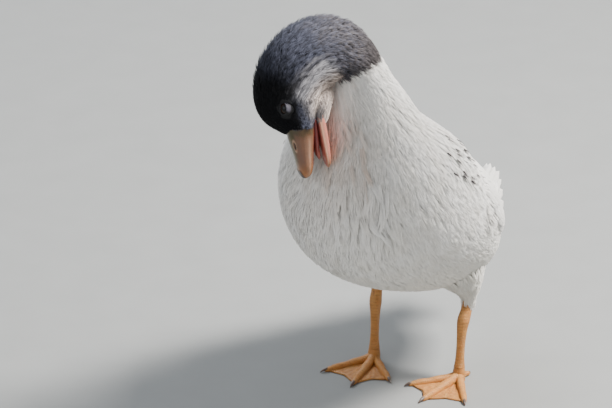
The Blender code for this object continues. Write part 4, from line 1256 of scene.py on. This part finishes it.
# %% Dark dashes at the shoulders
MARKS = np.array([  # row and degrees from the back
    [6.38, 57], [6.3, 60], [6.2, 64], [6.5, 75], [6.42, 78], [6.1, 70], [6.35, 84], [5.8, 64], [5.72, 67],
    [6.05, 87], [5.98, 90], [6.2, 94], [5.5, 72], [6.8, 67], [6.72, 70], [6.62, 88], [5.75, 82], [5.68, 85],
])
MARK_COLOUR = (0.052, 0.044, 0.048)
MARK_LOW, MARK_HIGH = -0.3, 1.0  # heights of root and tip, so that a dash lies on the coat
for side_name, side in SIDES.items():
    rng = np.random.default_rng(450)
    row, angle = MARKS[:, 0], side * np.radians(MARKS[:, 1])
    n = len(row)
    lengths, widths = rng.uniform(4.5, 6.5, n), rng.uniform(1.2, 1.9, n)
    heading = np.radians(rng.normal(0, 7, n))
    low, high = np.full(n, MARK_LOW), np.full(n, MARK_HIGH)
    fans = strands(shaped, row, angle, heading, lengths, widths, low, high, 4, 3, 451)
    tint, uv = np.broadcast_to(MARK_COLOUR, (n, 3)), skin_map(row, angle, 5, 7)
    tufts("shoulder_marks_" + side_name, fans, tint, tint * 1.3, uv, grey_plumage, 452, 0.2)

# %% [markdown]
# ## The tail
# A short fan, half closed like a roof, with ragged white tips, upper coverts over its root, and the two
# small curled feathers that mark a drake.

# %% Fan, coverts and curls
TAIL_BLADES = [  # blades on either side of the middle one, start and end as shares, width, height
    (6, 0.0, 1.0, 9.0, 0.0),
    (5, 0.0, 0.66, 7.6, 1.6),
    (4, -0.1, 0.42, 7.0, 3.0),
]
ROOT_NARROW = 0.33  # the width of the fan's root over that of its tips
BLADE_STEP = 1.1  # how much lower each blade lies than the one further in
for index, (side_count, start, end, width, height) in enumerate(TAIL_BLADES):
    out = np.arange(-side_count, side_count + 1) / TAIL_BLADES[0][0]
    roots = np.stack([start + 0 * out, FAN_SIDE * out * ROOT_NARROW], -1)
    tips = np.stack([end - FAN_SHORT * out**2, FAN_SIDE * out], -1)
    heights = height - BLADE_STEP * TAIL_BLADES[0][0] * np.abs(out)
    name, nodes = f"tail_row_{index}", [] if index else ["tail"]
    blades(name, fan_point, roots, tips, width, heights, 0.0, 0.0, 300 + index, nodes, split=0.4)


CURL_GRID = (26, 7)
CURL_TURN, CURL_HALF = (-140, 150), (2.3, 0.5)  # degrees round the circle and half width, root to tip
CURL_THIN, CURL_CUP, CURL_LIFT = 0.16, 0.25, 1.4  # half thickness, hollow across, height over the fan


def curl_points(share, left, radius):
    """A narrow strip that lies on the fan, then turns up and forwards round a circle."""
    turn = np.radians(np.linspace(*CURL_TURN, CURL_GRID[0]))[:, None]
    across = np.linspace(-1, 1, CURL_GRID[1])[None, :]
    half = np.linspace(*CURL_HALF, CURL_GRID[0])[:, None]
    sheets = []
    for sign in (1, -1):
        r = radius - sign * CURL_THIN + CURL_CUP * across**2
        reach = r / np.linalg.norm(FAN_TIP - FAN_ROOT)
        height = radius + CURL_LIFT + r * np.sin(turn)
        sheets.append(fan_point(share + reach * np.cos(turn), left + across * half, height))
    return np.stack(sheets)


for index, curl in enumerate(CURLS):
    s, v = (np.linspace(low, 1, count) for low, count in zip((0, -1), CURL_GRID))
    s, v = np.meshgrid(s, v, indexing="ij")
    tone = blend(WHITE, WARM, 0.3 + 0 * s)
    barbs = np.stack([np.stack([s * 0.03, v * 0.002], -1)] * 2)
    maps = {"OFBake": two_sides(v + 1, s, 2, 0.05, 0.9), "barbs": barbs}
    faces, tones = sheet_faces(*CURL_GRID), np.stack([tone, tone])
    piece = make_mesh(f"curl_{index}", curl_points(*curl), faces, white_vanes, tones, maps)
    dress(outward(piece), "white_feathers")

# %% [markdown]
# ## The bill
# Horn over bone: high and olive yellow at its root, tan and rosy along its sides, orange at its tip, with
# a dark nail that bends over the end and an open nostril on either side. The two halves are open a
# little, so the dark red inside and the tongue show. Each half is one fine grid, with nostril, lip and
# nail as heights added to it.


# %% Upper and lower bill
def nostril_ring(row, angle):
    """1 at the edge of the nearer nostril's slot, less inside it and more outside."""
    along = (row - NOSTRIL_ROW) / NOSTRIL_LONG
    across = (from_back(angle) - NOSTRIL_ANGLE) / NOSTRIL_WIDE
    return (along**2 + across**2) ** 0.5


def upper_relief(row, angle):
    """Heights on the upper bill: a nostril slot with a raised rim, a nail at the tip, a lip at the edge."""
    height = np.zeros(np.broadcast_shapes(row.shape, angle.shape))
    ring = nostril_ring(row, angle)
    height += -1.1 * smooth_step(1.0, 0.55, ring) + 0.3 * bump_at(ring, 1.25, 0.28)
    off = from_back(angle)
    narrow = off * np.interp(row, [4.3, 5.4, 7], [1.6, 1.0, 0.55])
    nail = smooth_step(4.45, 4.8, row) * smooth_step(62, 48, narrow)
    height += 0.45 * nail
    height += 0.3 * bump_at(off, 97, 9) * smooth_step(0.8, 1.6, row) * smooth_step(6.6, 5.8, row)
    comb = np.sin(row * 26) * bump_at(off, 124, 6) * smooth_step(1.5, 2.2, row) * smooth_step(6.0, 5.2, row)
    return height + 0.08 * comb, nail


def bill_piece(name, root, ahead, rows, grid, relief, paint, material, slot, *nodes):
    """A closed tube for one half of the bill or the tongue, with heights and colours from two functions."""
    row, angle = ring_grid(0, len(rows) - 1, *grid)
    more, extra = relief(row, angle)
    rings = bill_point(root, ahead, rows, row, angle, more)
    return dress(tube_mesh(name, rings, paint(row, angle, rings, extra), material), slot, *nodes)


OLIVE, TAN, ORANGE = (0.066, 0.044, 0.004), (0.150, 0.066, 0.034), (0.30, 0.105, 0.018)
DARK_NAIL, PALE_EDGE, NOSTRIL_SHADE = (0.025, 0.020, 0.019), (0.40, 0.235, 0.15), (0.05, 0.02, 0.015)
SALMON, GUM, MOUTH_RED = (0.43, 0.150, 0.108), (0.36, 0.085, 0.055), (0.15, 0.022, 0.018)


def paint_upper(row, angle, points, nail):
    """Olive over the root and the ridge, tan sides, an orange end, a dark nail, a pale nostril rim, and
    painted shade in the nostril's hollow.
    """
    off = from_back(angle)
    noise = soft_noise(points, 5.0, 31)
    reach = np.interp(row, [0, 1, 3, 5], [62, 50, 30, 16])
    colour = blend(OLIVE, TAN, smooth_step(-12, 16, off - reach + 10 * noise))
    colour = blend(colour, np.asarray(OLIVE) * 0.55, smooth_step(1.5, 0.7, row + 0.2 * noise) * 0.7)
    colour = blend(colour, ORANGE, smooth_step(3.0, 5.4, row + 0.3 * noise) * 0.85)
    colour = blend(colour, PALE_EDGE, bump_at(off, 99, 7) * smooth_step(0.8, 2.0, row) * 0.55)
    colour = blend(colour, MOUTH_RED, smooth_step(124, 138, off))
    ring = nostril_ring(row, angle)
    colour = blend(colour, PALE_EDGE, bump_at(ring, 1.3, 0.35) * 0.75)
    # Painted shade: the nostril's sunken slot is painted dark.
    colour = blend(colour, NOSTRIL_SHADE, smooth_step(1.0, 0.7, ring) * 0.9)
    colour = blend(colour, SLATE, smooth_step(0.5, 0.28, row + 0.08 * noise) * 0.9)
    return blend(colour, DARK_NAIL, nail * 0.9)


def paint_lower(row, angle, points, extra):
    """Salmon outside with an orange end and a pale edge, and red to the gum colour inside."""
    off = from_back(angle)
    colour = blend(SALMON, ORANGE, smooth_step(3.2, 5.2, row) * 0.7)
    colour = blend(colour, PALE_EDGE, bump_at(off, 84, 12) * 0.75)
    return blend(colour, blend(MOUTH_RED, GUM, smooth_step(1.2, 4.0, row)), smooth_step(70, 56, off))


def lower_relief(row, angle):
    """Heights on the lower bill: a lip at the edge, a fine comb inside it, and a trough for the tongue."""
    off = from_back(angle)
    lip = 0.35 * bump_at(off, 80, 10) * smooth_step(0.6, 1.4, row)
    comb = 0.06 * np.sin(row * 30) * bump_at(off, 62, 8) * smooth_step(1.5, 2.2, row)
    return lip + comb - 0.5 * smooth_step(60, 30, off), None


def horn_finish(name, roughness, coat):
    """Horn or moist skin: stained in patches that are also smoother or rougher, with fine pores."""
    made, tint, place = finish(
        name, roughness, Coat_Weight=coat, Coat_Roughness=0.25,
        Subsurface_Weight=0.12, Subsurface_Scale=0.004,
    )
    pores, stain = place.noise(1400.0, 3.0), place.noise(260.0, 4.0, Roughness=0.6)
    colour, rough = tint * (stain * 0.5 + 0.75), stain * 0.2 + (roughness - 0.1)
    return wire(made, colour, rough, pores + stain * 0.6, 0.00016)


horn = horn_finish("horn", 0.42, 0.25)
flesh = horn_finish("flesh", 0.38, 0.35)
bill_piece(
    "upper_bill", BILL_ROOT, BILL_AHEAD, UPPER_BILL, (130, 120), upper_relief, paint_upper, horn,
    "bill_horn", "bill_upper",
)
bill_piece(
    "lower_bill", JAW_ROOT, JAW_AHEAD, LOWER_BILL, (110, 80), lower_relief, paint_lower, flesh,
    "mouth_flesh", "bill_lower",
)


def tongue_relief(row, angle):
    """A groove down the middle, and a tongue that thins to its tip."""
    return 0.8 - 0.25 * bump_at(from_back(angle), 0, 14) - 0.8 * smooth_step(2.6, 4.0, row), None


def paint_tongue(row, angle, points, extra):
    """Dark red at the root, paler towards the tip."""
    return blend(MOUTH_RED, GUM, smooth_step(0.5, 2.5, row))


tongue_root = np.asarray(JAW_ROOT) + unit(BILL_UP) * TONGUE_RISE
bill_piece(
    "tongue_skin", tongue_root, JAW_AHEAD, TONGUE, (48, 32), tongue_relief,
    paint_tongue, flesh,
    "mouth_flesh", "tongue",
)

# %% Mouth lining
MOUTH = np.array([  # distance from the bill's root, and the share of the gap of its halves that is lined
    [-6, 1.15], [0, 1.15], [6, 1.1], [11, 0.8], [15, 0.4], [18, 0.1],
])
MOUTH_HALF = 6.4


def mouth_rows():
    """A tube between the underside of the upper half and the top of the lower half."""
    at = MOUTH[:, :1]
    up = np.asarray(unit(BILL_UP))
    roof = np.asarray(BILL_ROOT) + unit(BILL_AHEAD) * at
    roof = roof - up * np.interp(at, UPPER_BILL[:, 0], UPPER_BILL[:, 2])
    bed = np.asarray(JAW_ROOT) + unit(JAW_AHEAD) * at
    bed = bed + up * np.interp(at, LOWER_BILL[:, 0], LOWER_BILL[:, 1])
    half = np.linalg.norm(roof - bed, axis=-1) / 2 * MOUTH[:, 1] + 0.6
    wide = MOUTH_HALF * np.interp(MOUTH[:, 0], [11, 18], [1, 0.5])
    middle, reaches = (roof + bed) / 2, np.stack([half, half, wide], -1)
    return np.concatenate([middle, np.broadcast_to(up, middle.shape), reaches], axis=1)


row, angle = ring_grid(0, len(MOUTH) - 1, 40, 36)
rings = Tube(mouth_rows())(row, angle)
colour = blend(MOUTH_RED, GUM, smooth_step(2, 5, row) * 0.7)
dress(tube_mesh("mouth_lining", rings, colour, flesh), "mouth_flesh")

# %% [markdown]
# ## The eyes
# A dark brown, glossy ball with a black pupil, deep in the head. A pale lilac-grey lid comes half way up
# from behind and below, and a thin ring of skin follows the ball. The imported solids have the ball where
# it belongs, so it is made again here with a finer grid and a cornea.


# %% Eyes and lids
OPENING = (3.5, 1.9, 1.0)  # half length along the bill's direction, half width, and shift to the brow
CORNEA = 0.28
PUPIL, IRIS, EYE_EDGE = (0.004, 0.004, 0.005), (0.020, 0.010, 0.006), (0.006, 0.005, 0.005)
LID_DARK, LID_PALE = (0.005, 0.005, 0.006), (0.085, 0.080, 0.100)
LID_OUTER, LID_INNER = 14, 8  # points of the lid's outer and inner side


def eye_ball(side):
    """A ball with its pole to the outside, so that rings of colour go round the pupil."""
    centre, way, ahead, down = eye_axes(side)
    lean = np.linspace(0, math.pi, 34)[1:-1, None]
    turn = np.linspace(0, 2 * math.pi, 40, endpoint=False)[None, :]
    flat = ahead * np.cos(turn)[..., None] + down * np.sin(turn)[..., None]
    radius = EYE_RADIUS + CORNEA * np.exp(-((np.degrees(lean) / 30) ** 2))
    rings = centre + radius[..., None] * (way * np.cos(lean)[..., None] + flat * np.sin(lean)[..., None])
    poles = [centre + way * (EYE_RADIUS + CORNEA), centre - way * EYE_RADIUS]
    points = np.concatenate([rings.reshape(-1, 3), poles])
    off = np.degrees(lean) + 0 * turn
    colour = blend(blend(PUPIL, IRIS, smooth_step(24, 28, off)), EYE_EDGE, smooth_step(44, 50, off))
    return points, tube_faces(*rings.shape[:2]), capped(colour)


def lid_ring(side):
    """A ring of skin that follows the ball from its opening to the feathers. The opening is an oval whose
    middle is shifted to the brow, so the lid comes half way over from the cheek. At a turn it reaches
    (sqrt(p*p + q*(1 - (shift/short)^2)) - p)/q, with p = sin*shift/short^2 and q = (cos/long)^2 +
    (sin/short)^2."""
    centre, way, ahead, down = eye_axes(side)
    turn = np.linspace(0, 2 * math.pi, 72, endpoint=False)[:, None]
    cos, sin = np.cos(turn), np.sin(turn)
    long, short, shift = OPENING
    square = (cos / long) ** 2 + (sin / short) ** 2
    push = sin * shift / short**2
    opening = (np.sqrt(push**2 + square * (1 - (shift / short) ** 2)) - push) / square
    inner = np.degrees(np.arcsin(opening / (EYE_RADIUS + 0.4)))
    share = np.concatenate([np.linspace(0, 1, LID_OUTER), np.linspace(1, 0, LID_INNER)])[None, :]
    outer_side = (np.arange(LID_OUTER + LID_INNER) < LID_OUTER)[None, :]
    lean = np.radians(inner + (90 - inner) * share)
    swell = 0.35 * np.exp(-((share / 0.14) ** 2)) + 0.22 * np.sin(share * 11) ** 2 * (share < 0.7)
    radius = EYE_RADIUS + np.where(outer_side, 0.5 + swell * 0.8, 0.12)
    flat = ahead * cos[..., None] + down * sin[..., None]
    rings = centre + radius[..., None] * (way * np.cos(lean)[..., None] + flat * np.sin(lean)[..., None])
    count, sides = rings.shape[:2]
    i, j = np.meshgrid(np.arange(count), np.arange(sides), indexing="ij")
    n, k = (i + 1) % count, (j + 1) % sides
    quads = np.stack([i * sides + j, i * sides + k, n * sides + k, n * sides + j], -1).reshape(-1, 4)
    pale = smooth_step(0.1, 0.7, sin - 0.35 * cos) * smooth_step(52, 38, np.degrees(lean))
    edge = bump_at(share, 0.0, 0.1)
    colour = blend(LID_DARK, LID_PALE, np.clip(pale + edge * 0.1, 0, 1))
    return rings, quads, colour


eye_gloss, iris, place = finish("eye_gloss", 0.1, IOR=1.28, Coat_Weight=0.1, Coat_Roughness=0.03)
wire(eye_gloss, iris * (place.noise(1500.0, 2.0) * 0.8 + 0.6))
lid_skin, tint, place = finish("lid_skin", 0.55, Specular_IOR_Level=0.25)
folds = place.noise(1800.0, 3.0)
wire(lid_skin, tint * (folds * 0.4 + 0.8), height=folds, depth=0.0001)
for side_name, side in SIDES.items():
    points, faces, colour = eye_ball(side)
    ball = outward(make_mesh("eyeball_" + side_name, points, faces, eye_gloss, colour))
    dress(ball, "eye_dark", "eye_" + side_name)
    rings, quads, colour = lid_ring(side)
    dress(outward(make_mesh("lid_" + side_name, rings, quads, lid_skin, colour)), "grey_feathers")

# %% [markdown]
# ## Legs and feet
# Orange skin with flat plates down the front of the shank and over each toe, and fine round scales
# elsewhere. Three webbed toes point forwards, a small one behind, and each ends in a dark claw. The
# plates are heights added to the tubes, so that they also shade and bake as geometry.

# %% Scaly skin
# The pale and the deep colour also serve as painted light and painted shade on shanks and toes.
LEG, LEG_DEEP_AND_SHADED, LEG_PALE_AND_LIT = (0.46, 0.175, 0.030), (0.20, 0.060, 0.016), (0.60, 0.30, 0.09)
CLAW, CLAW_PALE = (0.09, 0.06, 0.045), (0.2, 0.13, 0.08)
scaly_skin, tint, place = finish("scaly_skin", 0.5, Subsurface_Weight=0.1, Subsurface_Scale=0.003)
edges = {"feature": "DISTANCE_TO_EDGE"}
scale = place.node("ShaderNodeTexVoronoi", settings=edges, Vector=place, Scale=1000.0).clip(0.0, 0.12)
mottle = place.noise(220.0, 3.0)
colour = tint * (scale * 0.3 + mottle * 0.4 + 0.55)
wire(scaly_skin, colour, mottle * 0.2 + 0.42, scale * 0.7 + mottle * 0.5, 0.00022)


SHANK_PITCH, TOE_PITCH = 2.1, 1.5  # millimetres from plate to plate


def plates(distance, pitch, facing):
    """Overlapping plates: a saw tooth along the limb, on the part that faces forwards, with a band at each
    plate's crease for painted shade.
    """
    tooth = (distance / pitch) % 1
    return (0.28 * tooth**0.7 - 0.1) * facing, smooth_step(0.12, 0.0, tooth) * facing


def shank_parts(side):
    """Rings and colours of a shank: plates in front, fine round scales behind, painted light on the front
    and painted shade on the back and in the plates' creases.
    """
    row, angle = ring_grid(0, len(SHANK) - 1, 210, 44)
    bare = limb_point(SHANK, side, row, angle)
    middle = limb_point(SHANK, side, row, angle, -np.asarray(spline(SHANK, row)[..., 3]))
    ahead = unit(bare - middle)[..., 0]
    height, crease_shade = plates(bare[..., 2], SHANK_PITCH, smooth_step(0.25, 0.7, ahead))
    pebbles = 0.1 * np.sin(angle * 16 + row * 3) * np.sin(row * 42) * smooth_step(0.4, 0.0, ahead)
    rings = limb_point(SHANK, side, row, angle, height + pebbles)
    noise = soft_noise(rings, 6.0, 71)
    # Painted light and shade: paler towards the front, darker towards the back and in each crease.
    colour = blend(LEG, LEG_PALE_AND_LIT, np.clip(0.25 + 0.3 * noise + 0.25 * ahead, 0, 1))
    colour = blend(colour, LEG_DEEP_AND_SHADED, np.clip(crease_shade * 0.6 + 0.3 * smooth_step(0, -0.8, ahead), 0, 1))
    return rings, colour


for side_name, side in SIDES.items():
    piece = tube_mesh("shank_skin_" + side_name, *shank_parts(side), scaly_skin)
    dress(piece, "leg_skin", "shank_" + side_name)

# %% Toes, webs and claws
TOE_SHAPE = np.array([  # share of its length, of its radius, height of its middle line
    [0, 1.25, 3.6], [0.12, 1.0, 2.4], [0.25, 0.95, 1.9], [0.38, 1.05, 1.8], [0.5, 0.82, 1.5],
    [0.6, 0.8, 1.5], [0.7, 0.92, 1.5], [0.8, 0.7, 1.3], [0.88, 0.6, 1.2], [0.92, 0.3, 1.1],
])
CLAW_SHAPE = np.array([
    [0.86, 0.4, 1.9], [0.9, 0.42, 1.9], [0.94, 0.34, 1.7], [0.98, 0.2, 1.1], [1.0, 0.08, 0.45],
])
WEBS = ((0, 1), (0, 2))  # the toes that each web joins
WEB_GRID = (34, 25)  # lines from toe to toe, and points on one
WEB_ENDS, WEB_SAG, WEB_THICK = (0.06, 0.86), 0.56, 0.95  # shares of the toes, sag as a share, thickness
LOWEST = 0.02  # how far over the ground the feet end


def toe_line(turn, length, share):
    """Places along a toe seen from above: it runs straight out from the ankle."""
    return ANKLE + np.array([math.cos(math.radians(turn)), math.sin(math.radians(turn))]) * length * share


def toe_rows(shape, turn, length, radius):
    """Rows of a limb from a toe's shares."""
    flat = toe_line(turn, length, shape[:, :1])
    return np.concatenate([flat, shape[:, 2:], radius * shape[:, 1:2]], axis=1)


def toe_parts(side, toe):
    """Rings and colours of a toe, with plates over it, painted light on top and painted shade underneath
    and in the plates' creases.
    """
    rows = toe_rows(TOE_SHAPE, *toe)
    row, angle = ring_grid(0, len(rows) - 1, 96, 26)
    bare = limb_point(rows, side, row, angle)
    upward = unit(bare - limb_point(rows, side, row, angle, -spline(rows, row)[..., 3]))[..., 2]
    distance = np.linalg.norm(bare[..., :2] - ANKLE * [1, side], axis=-1)
    height, crease_shade = plates(distance, TOE_PITCH, smooth_step(0.2, 0.6, upward))
    rings = limb_point(rows, side, row, angle, height)
    # Painted light and shade: paler on top, darker underneath and in each crease.
    colour = blend(LEG, LEG_PALE_AND_LIT, np.clip(0.2 + 0.3 * soft_noise(rings, 5.0, 72) + 0.2 * upward, 0, 1))
    colour = blend(colour, LEG_DEEP_AND_SHADED, np.clip(crease_shade * 0.6 + 0.35 * smooth_step(0, -0.7, upward), 0, 1))
    return rings, colour


def claw_parts(side, toe):
    """Rings and colours of a claw, paler at its root."""
    rows = toe_rows(CLAW_SHAPE, *toe)
    row, angle = ring_grid(0, len(rows) - 1, 18, 16)
    rings = limb_point(rows, side, row, angle)
    return rings, blend(CLAW, CLAW_PALE, smooth_step(1.5, 0.0, row))


def web_parts(side, pair):
    """A sheet between two toes: its lines run from toe to toe and sag towards the ankle, and it lies a
    little higher at the toes. Its upper and its under side are rings of one closed tube."""
    share = np.linspace(*WEB_ENDS, WEB_GRID[0])[:, None]
    first, last = (toe_line(*TOES[k][:2], share)[:, None] for k in pair)
    t = np.linspace(0, 1, WEB_GRID[1])[None, :, None]
    sag = 1 - WEB_SAG * t * (1 - t)
    plan = ANKLE + ((first * (1 - t) + last * t) - ANKLE) * sag
    middle = np.sin(math.pi * t)
    folds = 0.16 * np.sin(t * 34) * middle**0.5 + 0.1 * np.sin(share[:, None] * 60) * middle
    top = (WEB_THICK + 0.5 * (2 * t - 1) ** 4 + folds) * np.ones((*WEB_GRID, 1))
    upper = np.concatenate([plan, top], -1)
    under = np.concatenate([plan, np.zeros((*WEB_GRID, 1))], -1)[:, ::-1]
    rings = np.concatenate([upper, under], axis=1) * [1, side, 1]
    noise = soft_noise(rings, 4.0, 73)
    colour = blend(LEG, LEG_PALE_AND_LIT, np.clip(0.35 + 0.35 * noise, 0, 1))
    return rings, blend(colour, LEG_DEEP_AND_SHADED, np.clip(0.15 - 0.2 * noise, 0, 1))


def joined(parts):
    """Several closed tubes as one list of points, faces and colours. Nothing goes below the ground."""
    points, quads, fans, colours, shift = [], [], [], [], 0
    for rings, colour in parts:
        tube = closed_tube(rings)
        square, fan = tube_faces(*rings.shape[:2])
        points.append(tube)
        quads.append(square + shift)
        fans.append(fan + shift)
        colours.append(capped(colour))
        shift += len(tube)
    points = np.concatenate(points)
    points[:, 2] = np.maximum(points[:, 2], LOWEST)
    return points, [np.concatenate(quads), np.concatenate(fans)], np.concatenate(colours)


def ankle_parts(side):
    """Rings and colours of the knot where the toes meet, with fine creases round it."""
    row, angle = ring_grid(0, len(FOOT_ROOT) - 1, 30, 36)
    rings = limb_point(FOOT_ROOT, side, row, angle, 0.12 * np.sin(row * 30))
    return rings, blend(LEG, LEG_PALE_AND_LIT, np.clip(0.3 + 0.3 * soft_noise(rings, 5.0, 74), 0, 1))


for side_name, side in SIDES.items():
    parts = [ankle_parts(side)] + [toe_parts(side, toe) for toe in TOES]
    points, faces, colour = joined(parts + [web_parts(side, pair) for pair in WEBS])
    piece = make_mesh("foot_skin_" + side_name, points, faces, scaly_skin, colour)
    dress(piece, "leg_skin", "foot_" + side_name)
    points, faces, colour = joined([claw_parts(side, toe) for toe in TOES])
    dress(make_mesh("claws_" + side_name, points, faces, horn, colour), "bill_horn")

# %% [markdown]
# ## The floor
# A plain pale floor catches a soft shadow.

# %% Floor
corners = np.array([[-1, -1, 0], [1, -1, 0], [1, 1, 0], [-1, 1, 0]]) * FLOOR_HALF
pale_floor, _, place = finish("pale_floor", 0.9)
speck, shades = place.noise(30.0, 3.0), {"i6": (0.23, 0.235, 0.23, 1), "i7": (0.26, 0.265, 0.26, 1)}
wire(pale_floor, place.node("ShaderNodeMix", 2, True, {"data_type": "RGBA"}, i0=speck, **shades))
floor = make_mesh("floor", corners, np.array([[0, 1, 2, 3]]), pale_floor, metres=True)
